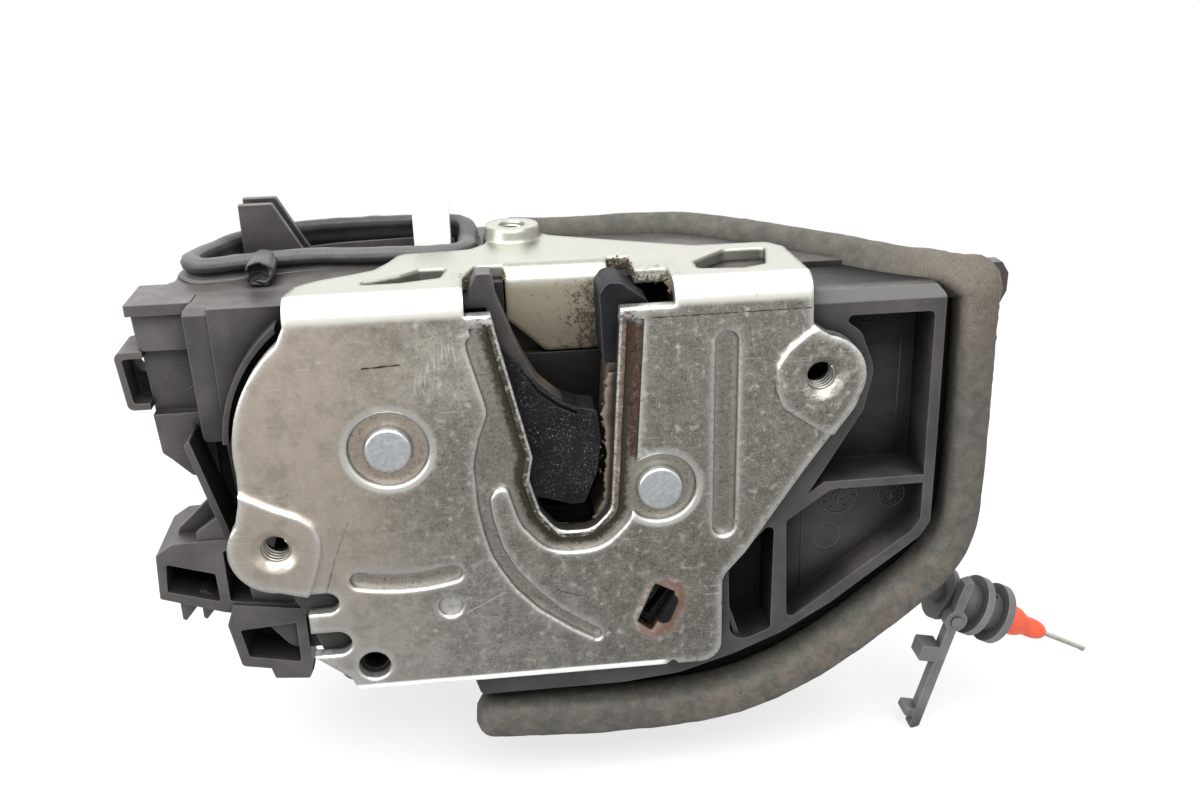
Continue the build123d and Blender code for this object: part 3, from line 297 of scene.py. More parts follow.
    def beside(self, start: Flat, end: Flat) -> bpy.types.NodeSocket:
        """Distance in X and Z from the straight line between two points, in millimetres.

        Args:
            start: One end of the line, in X and Z.
            end: Its other end.

        Returns:
            The distance.
        """
        run = (end[0] - start[0], end[1] - start[1])
        square = run[0] ** 2 + run[1] ** 2
        across = self.calc("SUBTRACT", self.x, start[0])
        up = self.calc("SUBTRACT", self.z, start[1])
        along = self.calc("ADD", self.times(across, run[0] / square), self.times(up, run[1] / square))
        along = self.calc("ADD", along, 0.0, clamp=True)
        return self.length(self.calc("SUBTRACT", across, self.times(along, run[0])),
                           self.calc("SUBTRACT", up, self.times(along, run[1])))

    def along(self, corners: tuple[Flat, ...]) -> bpy.types.NodeSocket:
        """Distance in X and Z from a line through several corners, in millimetres.

        Args:
            corners: The line's corners, in X and Z.

        Returns:
            The distance.
        """
        near = self.beside(corners[0], corners[1])
        for start, end in zip(corners[1:], corners[2:]):
            near = self.calc("MINIMUM", near, self.beside(start, end))
        return near

    def facing(self, name: str) -> bpy.types.NodeSocket:
        """One part of the surface's direction.

        Args:
            name: The axis.

        Returns:
            That part, from -1 to 1.
        """
        split = self.add("ShaderNodeSeparateXYZ")
        self.feed(split.inputs[0], self.add("ShaderNodeNewGeometry").outputs["Normal"])
        return split.outputs[name]

    def rounded(self, radius: float) -> bpy.types.NodeSocket:
        """The surface's direction with its edges rounded to a radius in millimetres.

        Args:
            radius: The radius in millimetres.

        Returns:
            The direction.
        """
        node = self.add("ShaderNodeBevel")
        node.samples = 6
        node.inputs["Radius"].default_value = radius * MM
        return node.outputs["Normal"]

    def edges(self, radius: float) -> bpy.types.NodeSocket:
        """1 along edges, 0 away from them.

        Args:
            radius: The radius in millimetres.

        Returns:
            The share.
        """
        node = self.add("ShaderNodeVectorMath", operation="DOT_PRODUCT")
        self.feed(node.inputs[0], self.rounded(radius))
        self.feed(node.inputs[1], self.add("ShaderNodeNewGeometry").outputs["True Normal"])
        return self.step(node.outputs["Value"], 0.995, 0.93)

    def open_share(self, reach: float, inside: bool = False) -> bpy.types.NodeSocket:
        """How free the surface is within a reach; from inside, low along outer edges.

        Args:
            reach: How far other surfaces count, in millimetres.
            inside: Whether it looks into the piece, for its outer edges.

        Returns:
            The share.
        """
        node = self.add("ShaderNodeAmbientOcclusion", inside=inside, only_local=inside, samples=6)
        node.inputs["Distance"].default_value = reach * MM
        return node.outputs["AO"]

    def relief(self, height: object, depth: float, strength: float = 1.0,
               base: bpy.types.NodeSocket | None = None) -> bpy.types.NodeSocket:
        """A bumpy surface direction.

        Args:
            height: The bump's value from 0 to 1.
            depth: Its height in millimetres.
            strength: How much of it shows.
            base: The direction that it starts from.

        Returns:
            The new direction.
        """
        node = self.add("ShaderNodeBump")
        node.inputs["Strength"].default_value = strength
        node.inputs["Distance"].default_value = depth * MM
        self.feed(node.inputs["Height"], height)
        if base is not None:
            self.feed(node.inputs["Normal"], base)
        return node.outputs["Normal"]

    def finish(self, **inputs: object) -> bpy.types.Material:
        """Sets the shader's sockets, with the colour laid so far.

        Args:
            inputs: A value or a socket for each input, its spaces written as underscores.

        Returns:
            The material.
        """
        for key, value in {"Base_Color": self.colour, **inputs}.items():
            self.feed(self.shader.inputs[key.replace("_", " ")], value)
        return self.material


# Finishes
@dataclass(frozen=True)
class ZincSheet:
    """Pressed sheet steel, zinc plated, handled and dirty."""

    name: str = "zinc_sheet"
    warm: Colour = (0.655, 0.575, 0.485)
    cool: Colour = (0.345, 0.327, 0.287)
    # painted highlight laid over the bend below the flange
    top: Colour = (0.80, 0.80, 0.74)
    flange: Colour = (0.33, 0.33, 0.29)
    bright: Colour = (0.93, 0.93, 0.90)
    floor: Colour = (0.27, 0.25, 0.215)
    ring: Colour = (0.48, 0.40, 0.33)
    rust: Colour = (0.115, 0.050, 0.024)
    burnt: Colour = (0.035, 0.018, 0.010)
    grime_and_shade: Colour = (0.040, 0.032, 0.022)
    # dirt in the mouth and slot, and painted shade in concave corners
    tan: Colour = (0.27, 0.23, 0.155)
    brown: Colour = (0.110, 0.066, 0.044)

    def sheet(self, net: Net) -> None:
        """The plating: warm and smooth at the left, greyer and frosted at the right; the lighter left is
        partly painted light, and a painted pool of light lies at the upper left.

        Args:
            net: The material's nodes.
        """
        # warm, lighter left and greyer right: part plating tone, part painted light fading to the right
        right = net.step(net.calc("ADD", net.x, net.times(net.noise(12.0, 3.0), 12.0)), -40.0, -10.0)
        net.colour = net.blend(right, self.warm, self.cool)
        low = net.times(net.step(net.z, 4.0, -30.0), net.step(net.x, 20.0, -30.0))
        net.lay((0.68, 0.65, 0.61), low, 0.68)
        # painted light: a warm, lighter pool at the upper left of the plate
        net.lay((0.74, 0.69, 0.61), net.step(net.away((-22.0, 26.0)), 13.0, 4.0), 0.6)
        net.lay((0.22, 0.20, 0.17), net.spots(0.46, 0.66, 7.0, 6.0, 0.7), 0.38)
        share = net.calc("MULTIPLY_ADD", right, 0.62, 0.16)
        cloud = net.spots(0.40, 0.62, 3.2, 5.0, 0.7)
        net.lay((0.12, 0.112, 0.095), cloud, share, 0.52)
        frost = net.spots(0.54, 0.58, 2.2, 9.0, 0.85)
        net.lay((0.86, 0.85, 0.80), frost, share, 0.9)
        sparse = net.spots(0.61, 0.67, 0.70, 4.0, 0.8)
        net.lay(self.bright, sparse, share, 0.9)
        grain = net.spots(0.50, 0.60, 0.42, 3.0, 0.85)
        net.lay((0.74, 0.73, 0.68), grain, share, 0.40)
        blots = net.spots(0.575, 0.60, 1.1, 6.0, 0.8)
        net.lay((0.93, 0.92, 0.88), blots, share)
        pits = net.spots(0.53, 0.59, 0.55, 5.0, 0.85)
        net.lay((0.045, 0.042, 0.036), pits, share, 0.85)
        for turn, size in ((0.6, 0.9), (-0.9, 0.7), (1.5, 1.1)):
            hair = net.noise(size, 2.0, 0.6, 0.0, net.stretched((0.10, 1.0, 2.4), turn))
            net.lay(self.bright, net.step(hair, 0.67, 0.72), 0.28)

    def pressings(self, net: Net, deep: object) -> None:
        """Darker pressed floors, brown rings, painted highlights on outer edges and round the pivot rings,
        and painted shade in corners.

        Args:
            net: The material's nodes.
            deep: Share of the pressed floors.
        """
        net.lay(self.floor, deep, 0.6)
        for centre, reach, brown in ((CATCH_PIVOT, 7.4, self.ring),
                                     (PAWL_PIVOT, 7.0, (0.37, 0.345, 0.285))):
            net.lay(brown, net.step(net.away(centre), reach, reach - 0.4), deep, 0.75)
        specks = net.spots(0.52, 0.64, 0.6, 4.0, 0.8)
        net.lay((0.075, 0.065, 0.05), deep, specks, 0.55)
        # painted highlight: bright lines along the convex edges of the pressings
        outer = net.step(net.open_share(2.2, inside=True), 0.90, 0.55)
        net.lay(self.bright, outer, net.spots(0.30, 0.50, 0.9, 4.0, 0.75), 0.85)
        front = net.step(net.y, 0.45, 0.15)
        # painted highlight: a bright rim round each pivot ring, stronger on its lower side where light from
        # above falls
        for centre, reach in ((CATCH_PIVOT, 7.1), (PAWL_PIVOT, 6.7)):
            halo = net.within(net.away(centre), reach + 0.2, reach + 0.9, 0.7)
            lower = net.calc("MULTIPLY_ADD", net.step(net.z, centre[1] + 5.0, centre[1] - 6.0), 0.55, 0.25)
            net.lay(self.bright, halo, lower, front)
        # painted shade: darker in concave corners, such as the inner line of each pressing
        corner = net.step(net.open_share(1.1), 0.86, 0.50)
        net.lay(self.grime_and_shade, corner, net.step(net.y, 0.2, 0.7), 0.8)
        self.slot_rim(net, front)

    def slot_rim(self, net: Net, front: object) -> None:
        """The slot's folded rim: a worn bright edge, a dirty top, and grime at its foot.

        Args:
            net: The material's nodes.
            front: Share of the plate's front face.
        """
        gap = net.along(SLOT_EDGE)
        low = net.step(net.z, 32.6, 31.6)
        rag = net.noise(1.0, 5.0, 0.75)
        foot = net.step(net.calc("ADD", gap, net.times(rag, 3.4)), 5.0, 3.8)
        net.lay(self.grime_and_shade, foot, net.step(net.y, 0.3, 0.7), low, 0.85)
        top = net.times(net.within(gap, 0.50, 1.9, 0.18), net.step(net.z, 33.6, 32.8),
                        net.step(net.y, 0.8, 0.4))
        dirty = net.blend(net.step(net.x, 4.0, 7.0), (0.10, 0.088, 0.068), (0.36, 0.26, 0.20))
        net.lay(dirty, top, net.step(rag, 0.26, 0.40), 0.95)
        worn = net.spots(0.535, 0.585, 1.6, 7.0, 0.8)
        net.lay((0.70, 0.66, 0.58), top, worn, 0.8)
        net.lay(self.grime_and_shade, net.step(gap, 3.4, 2.4), net.step(rag, 0.50, 0.56), front, 0.8)
        strip = net.times(net.within(net.x, 9.9, 12.6, 0.5), net.within(net.z, 7.0, 31.0, 1.0),
                          net.step(net.y, 0.3, 0.7), net.step(net.x, 9.0, 10.0))
        net.lay(self.brown, strip, net.spots(0.26, 0.50, 0.9, 4.0, 0.7), 0.92)
        net.lay((0.030, 0.022, 0.016), strip, net.spots(0.54, 0.62, 0.7, 4.0, 0.8), 0.8)

    def marks(self, net: Net) -> None:
        """Engraved line, scratches, scuffs and a painted shade line for the crease below the bend.

        Args:
            net: The material's nodes.
        """
        front = net.step(net.y, 0.5, 0.2)
        dark = (0.07, 0.045, 0.035)
        for start, end, wide, strength in (
                ((-35.4, 26.6), (-29.1, 26.9), 0.17, 0.95), ((-46.2, -17.3), (-43.6, -9.3), 0.16, 0.55),
                ((-43.6, -9.3), (-40.6, -2.0), 0.12, 0.40), ((-4.3, -19.1), (-0.4, -20.5), 0.11, 0.7),
                # painted shade: the dark line of the crease below the bend
                ((13.8, 32.7), (41.4, 32.9), 0.15, 0.8)):
            wander = net.times(net.calc("SUBTRACT", net.noise(1.5, 3.0), 0.5), 0.5)
            line = net.step(net.calc("ADD", net.beside(start, end), wander), wide, wide * 0.4)
            net.lay(dark, line, front, strength)
        for start, end in (((-20.8, -22.2), (-18.5, -21.2)), ((-18.5, -21.2), (-15.7, -19.7)),
                           ((-15.7, -19.7), (-13.8, -18.6)), ((28.4, -21.0), (24.4, -20.8)),
                           ((27.4, -22.4), (23.6, -22.6))):
            line = net.step(net.beside(start, end), 0.12, 0.03)
            net.lay(self.bright, line, front, 0.8)
        streaks = net.spots(0.48, 0.62, 0.8, 1.0, 0.5, 0.0, net.stretched((2.4, 1.0, 0.22), 0.75))
        scuff = net.step(net.beside((-26.0, 22.6), (-21.0, 28.4)), 2.8, 0.6)
        net.lay(self.bright, streaks, scuff, front, 0.5)

    def window_rust(self, net: Net) -> bpy.types.NodeSocket:
        """The rust round the window of the turning plug."""
        wobble = net.times(net.calc("SUBTRACT", net.noise(1.8, 4.0, 0.65), 0.5), 3.4)
        return net.step(net.calc("ADD", net.beside((15.9, -22.4), (14.3, -27.0)), wobble), 5.2, 3.1)

    def material(self) -> bpy.types.Material:
        """Builds the shader.

        Returns:
            The material.
        """
        net = Net(self.name)
        below = net.step(net.z, 34.4, 33.4)
        deep = net.times(net.step(net.y, 0.45, 0.8), net.step(net.y, 3.2, 2.6), below)
        self.sheet(net)
        self.pressings(net, deep)
        self.marks(net)
        # painted highlight: a bright strip along the plate's bottom edge
        edge = net.times(net.step(net.z, -36.0, -36.5), net.step(net.x, 17.0, 15.0))
        net.lay(self.bright, edge, 0.95)
        # painted highlight: the bend below the flange laid near white
        net.lay(self.top, net.step(net.z, 34.0, 35.2), 0.92)
        net.lay(self.flange, net.step(net.z, 37.3, 38.2), net.step(net.y, 2.2, 5.0), 0.95)
        net.lay((0.36, 0.33, 0.26), net.step(net.z, 34.8, 35.6),
                net.spots(0.58, 0.70, 2.2, 5.0, 0.75), 0.55)
        stain = self.window_rust(net)
        net.lay(self.rust, stain, 0.85)
        inner = net.step(net.beside((15.9, -21.9), (13.3, -27.3)), 3.6, 2.7)
        net.lay(self.burnt, inner, net.step(net.y, 0.4, 0.9), 0.9)
        plug = net.step(net.beside((16.9, -23.4), (15.7, -26.6)), 1.75, 1.35)
        net.lay((0.016, 0.014, 0.016), plug)
        net.lay((0.38, 0.38, 0.34), net.step(net.y, 9.0, 12.0), net.step(net.z, 38.5, 38.3), 0.95)
        tongue = net.times(net.step(net.y, 11.5, 14.0), net.step(net.z, 36.4, 34.4))
        net.lay(self.tan, tongue, 0.88)
        net.lay((0.12, 0.10, 0.07), tongue, net.step(net.z, 35.0, 24.0), 0.75)
        side = net.times(net.step(net.x, -5.0, 8.0), 0.14)
        dots = net.step(net.calc("ADD", net.noise(1.0, 6.0, 0.85), side), 0.585, 0.64)
        net.lay(self.grime_and_shade, dots, tongue, 0.9)
        mouth = net.times(net.within(net.x, -19.0, 19.0, 1.0), net.within(net.y, 6.0, 12.0, 3.0),
                          net.step(net.z, 33.0, 35.0), net.spots(0.52, 0.62, 0.8, 4.0, 0.8))
        net.lay(self.grime_and_shade, mouth, 0.85)
        rough = net.calc("MULTIPLY_ADD", net.noise(1.1, 4.0, 0.7), 0.28, 0.18)
        rough = net.calc("ADD", rough, net.times(net.calc("MAXIMUM", stain, deep), 0.14))
        coated = net.calc("MAXIMUM", net.calc("MAXIMUM", stain, tongue), edge)
        metal = net.calc("SUBTRACT", 0.95, net.times(coated, 0.6))
        grain = net.noise(0.34, 4.0, 0.75)
        base = net.relief(net.noise(3.0, 2.0), 0.05, 0.4, net.rounded(1.1))
        normal = net.relief(grain, 0.045, 0.6, net.relief(net.noise(1.2, 4.0, 0.7), 0.05, 0.35, base))
        dull = net.calc("SUBTRACT", 0.5, net.calc("MAXIMUM", net.times(plug, 0.5), net.times(stain, 0.3)))
        return net.finish(Metallic=metal, Roughness=rough, Normal=normal,
                          Specular_IOR_Level=dull)


@dataclass(frozen=True)
class MouldedPlastic:
    """Black or coloured plastic from a mould, with grain, scuffs and dust, edges lightened by painted
    highlight and wear, painted shade in its hollows, and an optional painted highlight band with painted
    shade behind it.
    """

    name: str
    colour: Colour
    dust: Colour = (0.15, 0.135, 0.118)
    dusty: float = 0.22
    rough: float = 0.42
    gloss: float = 0.3
    grain: float = 0.03
    edge_light: float = 0.5
    dots: float = 0.0
    shade: float = 0.75
    # where a painted highlight band starts, with painted shade on the top behind it
    pale_above: float | None = None

    def material(self) -> bpy.types.Material:
        """Builds the shader.

        Returns:
            The material.
        """
        net = Net(self.name)
        patches = net.spots(0.32, 0.80, 9.0, 5.0, 0.6, 0.2)
        specks = net.spots(0.60, 0.70, 0.5, 3.0, 0.75)
        up = net.step(net.facing("Z"), -0.2, 0.9)
        share = net.times(net.calc("MULTIPLY_ADD", up, 0.8, 0.2), self.dusty)
        net.colour = net.blend(patches, self.colour, tuple(min(1.0, c * 1.5 + 0.004) for c in self.colour))
        net.lay(self.dust, share, patches)
        net.lay(self.dust, specks, share)
        hair = net.spots(0.69, 0.72, 1.1, 3.0, 0.6, 0.6, net.stretched((0.5, 1.0, 1.6), 0.5))
        net.lay(self.dust, hair, 0.3)
        if self.dots:
            net.lay((0.45, 0.44, 0.40), net.spots(0.60, 0.64, 0.30, 5.0, 0.9),
                    net.spots(0.36, 0.55, 3.5, 4.0, 0.7), self.dots)
        if self.pale_above is not None:
            # painted highlight: a pale band on the front-facing chamfer of the wing
            band = net.times(net.step(net.z, self.pale_above, self.pale_above + 0.4),
                             net.step(net.x, 38.0, 42.0))
            net.lay((0.145, 0.145, 0.135), band, net.step(net.facing("Y"), -0.5, -0.8))
            # painted shade: the wing's top behind the chamfer laid near black
            net.lay((0.004, 0.004, 0.004), band, net.step(net.y, 3.0, 6.0), 0.95)
        # lighter along edges: part painted highlight, part rubbed wear
        net.lay(tuple(min(1.0, c * 2.6 + 0.06) for c in self.colour), net.edges(0.3),
                self.edge_light)
        # painted shade: darker where other surfaces hem the plastic in
        hidden = net.step(net.open_share(13.0), 0.86, 0.42)
        net.lay(tuple(c * 0.15 for c in self.colour), hidden, self.shade)
        shine = net.times(net.calc("SUBTRACT", 1.0, net.times(hidden, self.shade)), self.gloss)
        rough = net.calc("MULTIPLY_ADD", net.noise(1.6, 4.0), 0.25, self.rough - 0.1)
        normal = net.relief(net.noise(0.35, 3.0, 0.6), self.grain, 0.5,
                            net.relief(net.noise(9.0, 3.0), 0.15, 0.5, net.rounded(0.3)))
        return net.finish(Roughness=rough, Normal=normal, Specular_IOR_Level=shine)


@dataclass(frozen=True)
class FoamSkin:
    """Foam rubber with a closed skin, brown with old dust, with painted shade in its hollows and, round the
    opening, a painted lit top and a painted shaded rear.
    """

    name: str = "foam_skin"
    colour: Colour = (0.052, 0.050, 0.043)
    pale: Colour = (0.098, 0.092, 0.079)
    dust: Colour = (0.20, 0.16, 0.118)
    dusty: float = 0.30
    rough: float = 0.72
    gloss: float = 0.3
    # round the opening: painted light on the front run's top and painted shade on the rear run
    opening: bool = False

    def material(self) -> bpy.types.Material:
        """Builds the shader.

        Returns:
            The material.
        """
        net = Net(self.name)
        patches = net.spots(0.46, 0.78, 9.0, 6.0, 0.7, 0.8)
        streaks = net.noise(2.6, 5.0, 0.72, 0.4)
        corner = net.times(net.step(net.x, 50.0, 70.0), net.step(net.z, 10.0, 34.0))
        share = net.calc("ADD", net.times(patches, self.dusty), net.times(corner, self.dusty, 1.3),
                         clamp=True)
        grain = net.noise(0.26, 3.0, 0.75)
        net.colour = net.blend(net.step(streaks, 0.30, 0.75), self.colour, self.pale)
        dust = net.blend(net.step(grain, 0.40, 0.62), (0.085, 0.070, 0.055), self.dust)
        net.lay(dust, share)
        front = net.step(net.calc("ADD", net.y, net.times(net.noise(2.0, 3.0), 1.4)), 2.6, 1.2)
        low = net.times(net.step(net.x, 8.0, 30.0), net.step(net.z, -12.0, -22.0))
        orange = net.times(front, net.spots(0.42, 0.58, 2.5, 5.0, 0.8), low)
        net.lay((0.17, 0.13, 0.09), orange, self.dusty, 1.1)
        outer = net.times(net.step(net.x, 74.9, 75.9), net.step(net.z, -12.0, 4.0))
        net.lay((0.30, 0.15, 0.075), outer, net.spots(0.50, 0.62, 0.9, 4.0, 0.8), 0.65)
        net.lay((0.012, 0.011, 0.010), net.spots(0.66, 0.74, 0.6, 2.0, 0.6), 0.6)
        if self.opening:
            # painted light: lighter where the front run's top faces up
            lit = net.times(net.step(net.facing("Z"), 0.1, 0.9), net.step(net.y, 40.0, 36.0))
            net.lay((0.105, 0.105, 0.10), lit, net.step(grain, 0.30, 0.55), 0.75)
            # painted shade: darker on the rear run
            rear = net.times(net.step(net.facing("Z"), 0.8, 0.3), net.step(net.y, 38.0, 42.0))
            net.lay((0.006, 0.006, 0.006), rear, 0.8)
        # painted shade: darker in hollows and under neighbouring parts
        hidden = net.step(net.open_share(4.0), 0.72, 0.25)
        net.lay((0.008, 0.008, 0.008), hidden, 0.75)
        normal = net.relief(net.noise(1.6, 5.0, 0.7), 0.16, 0.35, net.relief(grain, 0.08, 0.6))
        return net.finish(Roughness=self.rough, Normal=normal, Specular_IOR_Level=self.gloss)


@dataclass(frozen=True)
class CutSteel:
    """Bare or bright steel: levers, springs, rivets and screws."""

    name: str
    colour: Colour
    rough: float = 0.35
    stain: Colour = (0.12, 0.09, 0.06)
    stained: float = 0.2
    brushed: Point = (1.0, 1.0, 1.0)

    def material(self) -> bpy.types.Material:
        """Builds the shader.

        Returns:
            The material.
        """
        net = Net(self.name)
        cloud = net.spots(0.45, 0.75, 3.0, 5.0, 0.65)
        lines = net.noise(0.8, 4.0, 0.7, 0.0, net.stretched(self.brushed))
        worn = tuple(c * 0.78 for c in self.colour)
        net.colour = net.blend(net.step(lines, 0.35, 0.7), worn, self.colour)
        net.lay(self.stain, cloud, self.stained)
        net.lay(self.stain, net.spots(0.64, 0.72, 0.5, 2.0, 0.7), self.stained)
        rough = net.calc("MULTIPLY_ADD", lines, 0.25, self.rough - 0.1)
        normal = net.relief(lines, 0.03, 0.4, net.rounded(0.25))
        return net.finish(Metallic=0.95, Roughness=rough, Normal=normal)


@dataclass(frozen=True)
class CircuitCoat:
    """The lacquered board of the circuit plate."""

    name: str = "circuit_coat"

    def material(self) -> bpy.types.Material:
        """Builds the shader.

        Returns:
            The material.
        """
        net = Net(self.name)
        tracks = net.step(net.cells(4.0), 0.28, 0.33)
        net.colour = net.blend(tracks, (0.02, 0.07, 0.03), (0.03, 0.11, 0.045))
        normal = net.relief(tracks, 0.04, 0.6, net.rounded(0.2))
        return net.finish(Roughness=0.3, Normal=normal)


@dataclass(frozen=True)
class DryDirt:
    """Crumbs of road dirt and grease."""

    name: str = "dry_dirt"

    def material(self) -> bpy.types.Material:
        """Builds the shader.

        Returns:
            The material.
        """
        net = Net(self.name)
        grain = net.noise(0.3, 4.0, 0.8)
        net.colour = net.blend(net.step(grain, 0.38, 0.62), (0.030, 0.022, 0.014), (0.19, 0.145, 0.085))
        normal = net.relief(grain, 0.12, 0.8)
        return net.finish(Roughness=0.9, Normal=normal)


# Mesh building
def linked(name: str, data: bpy.types.ID) -> bpy.types.Object:
    """Adds an object to the scene.

    Args:
        name: The object's name.
        data: Its mesh, light or camera.

    Returns:
        The new object.
    """
    piece = bpy.data.objects.new(name, data)
    bpy.context.scene.collection.objects.link(piece)
    return piece


def ramp(value: float, start: float, run: float) -> float:
    """0 up to the start, then rising evenly to 1 over the run."""
    return min(1.0, max(0.0, (value - start) / run))


def mesh_piece(name: str, points: list[Vector], faces: list[tuple[int, ...]],
               smooth: bool = True) -> bpy.types.Object:
    """Makes an object from points and faces.

    Args:
        name: The piece's name.
        points: Its corners, in metres.
        faces: Corners of each face.
        smooth: Whether it is shaded smooth.

    Returns:
        The new object.
    """
    mesh = bpy.data.meshes.new(name)
    mesh.from_pydata([tuple(p) for p in points], [], faces)
    work = bmesh.new()
    work.from_mesh(mesh)
    bmesh.ops.recalc_face_normals(work, faces=work.faces)
    work.to_mesh(mesh)
    work.free()
    for polygon in mesh.polygons:
        polygon.use_smooth = smooth
    return linked(name, mesh)


def joined(name: str, pieces: list[bpy.types.Object]) -> bpy.types.Object:
    """One object made of several.

    Args:
        name: The new piece's name.
        pieces: Objects at the origin that become one.

    Returns:
        The joined object.
    """
    work = bmesh.new()
    for piece in pieces:
        work.from_mesh(piece.data)
    mesh = bpy.data.meshes.new(name)
    work.to_mesh(mesh)
    work.free()
    for piece in pieces:
        bpy.data.objects.remove(piece, do_unlink=True)
    return linked(name, mesh)


def lofted(name: str, rings: list[list[Vector]], loop: bool = False) -> bpy.types.Object:
    """A skin over rings of equal count.

    Args:
        name: The piece's name.
        rings: The rings' points, in metres.
        loop: Whether the last ring joins the first.

    Returns:
        The new object.
    """
    count = len(rings[0])
    points = [point for ring in rings for point in ring]
    faces = []
    spans = len(rings) if loop else len(rings) - 1
    for i in range(spans):
        here, there = i * count, (i + 1) % len(rings) * count
        for k in range(count):
            following = (k + 1) % count
            faces.append((here + k, here + following, there + following, there + k))
    if not loop:
        faces.append(tuple(range(count - 1, -1, -1)))
        last = (len(rings) - 1) * count
        faces.append(tuple(last + k for k in range(count)))
    return mesh_piece(name, points, faces)


def through(corners: list[Point], step: float, loop: bool = False) -> list[Vector]:
    """Points at even steps along a smooth curve through the corners.

    Args:
        corners: Points of the curve, in millimetres.
        step: Distance between the new points.
        loop: Whether the curve closes.

    Returns:
        The new points, in millimetres.
    """
    known = [Vector(c) for c in corners]
    count = len(known)
    fine: list[Vector] = []
    spans = count if loop else count - 1
    for i in range(spans):
        if loop:
            a, b, c, d = (known[(i + k - 1) % count] for k in range(4))
        else:
            b, c = known[i], known[i + 1]
            a = known[i - 1] if i else b * 2 - c
            d = known[i + 2] if i + 2 < count else c * 2 - b
        for k in range(24):
            t = k / 24
            fine.append(0.5 * ((2 * b) + (c - a) * t + (2 * a - 5 * b + 4 * c - d) * t * t
                               + (3 * b - a - 3 * c + d) * t ** 3))
    if not loop:
        fine.append(known[-1])
    out = [fine[0]]
    walked = 0.0
    ring = fine + fine[:1] if loop else fine
    for before, after in zip(ring, ring[1:]):
        walked += (after - before).length
        if walked >= step:
            out.append(after)
            walked = 0.0
    return out[:-1] if loop and (out[-1] - out[0]).length < step / 2 else out


@dataclass
class Strand:
    """A foam strand laid along a route."""

    name: str
    route: list[Point]
    wide: float
    high: float
    first_up: Point
    square: float = 3.0
    step: float = 1.0
    loop: bool = False
    rough: float = 0.12
    sides: int = 32
    blunt: float = 0.0

    def rings(self) -> list[list[Vector]]:
        """Rings of skin points along the route.

        Returns:
            One list of points per step, in metres.
        """
        line = through(self.route, self.step, self.loop)
        up = Vector(self.first_up).normalized()
        rings = []
        for i, here in enumerate(line):
            if self.loop:
                ahead = line[(i + 1) % len(line)] - line[i - 1]
            else:
                ahead = line[min(i + 1, len(line) - 1)] - line[max(i - 1, 0)]
            ahead.normalize()
            up = (up - ahead * up.dot(ahead)).normalized()
            side = ahead.cross(up)
            share = 1.0
            if self.blunt and i * self.step < self.blunt:
                share = math.sqrt(max(0.02, 1 - (1 - (i + 0.3) * self.step / self.blunt) ** 2))
            ring = []
            for k in range(self.sides):
                angle = 2 * math.pi * k / self.sides
                power = 2 / self.square
                across = math.copysign(abs(math.cos(angle)) ** power, math.cos(angle)) * self.wide / 2
                rise = math.copysign(abs(math.sin(angle)) ** power, math.sin(angle)) * self.high / 2
                across, rise = self.shaped(here, angle, across, rise)
                across, rise = across * share, rise * share
                point = here + side * across + up * rise
                push = (side * across + up * rise).normalized()
                amount = noise.fractal(point * 0.22, 0.8, 2.0, 4) * self.rough
                ring.append((point + push * amount) * MM)
            rings.append(ring)
        return rings

    def shaped(self, here: Vector, angle: float, across: float, rise: float) -> tuple[float, float]:
        """Gives a skin point its place across and above the route."""
        return across, rise

    def make(self) -> bpy.types.Object:
        """Builds the strand."""
        return lofted(self.name, self.rings(), self.loop)


@dataclass
class CornerStrand(Strand):
    """The long strand, torn at its upper corner and grooved along its top run."""

    torn_from: Flat = (66.0, 2.0)
    torn_run: Flat = (5.0, 26.0)
    corner: Point = (72.6, 5.8, 34.4)
    corner_reach: float = 2.4
    bulge: float = 1.0
    tear: float = 1.0
    slim: float = 1.0
    slim_from: Flat = (66.0, -25.0)
    slim_run: Flat = (6.0, 20.0)
    groove: float = 1.1
    groove_from: float = 16.0
    groove_run: float = 12.0
    groove_at: float = math.pi * 0.62
    groove_wide: float = 0.30

    def shaped(self, here: Vector, angle: float, across: float, rise: float) -> tuple[float, float]:
        """Slims the upright, pushes torn skin outwards and presses the groove in.

        Args:
            here: The route's point.
            angle: Angle round the section.
            across: Place across the route.
            rise: Place above the route.

        Returns:
            The new place across and above the route.
        """
        if here.x > self.slim_from[0]:
            upright = (ramp(here.z, self.slim_from[1], self.slim_run[1])
                       * ramp(here.x, self.slim_from[0], self.slim_run[0]))
            near = math.exp(-((here - Vector(self.corner)).length / self.corner_reach) ** 2)
            across += max(0.0, math.cos(angle)) * (self.bulge * near - self.slim * upright * (1.0 - near))
        if here.x > self.torn_from[0] and here.z > self.torn_from[1]:
            share = (ramp(here.z, self.torn_from[1], self.torn_run[1])
                     * ramp(here.x, self.torn_from[0], self.torn_run[0]))
            outer = max(0.0, math.cos(angle)) ** 6
            rag = noise.fractal(Vector((here.z * 1.1, here.x * 1.1, 3.0)), 0.6, 2.1, 5)
            across += outer * share * self.tear * (rag + 0.1)
        if here.y > self.groove_from:
            middle = math.exp(-((angle - self.groove_at) / self.groove_wide) ** 2)
            rise -= middle * ramp(here.y, self.groove_from, self.groove_run) * self.groove
        return across, rise


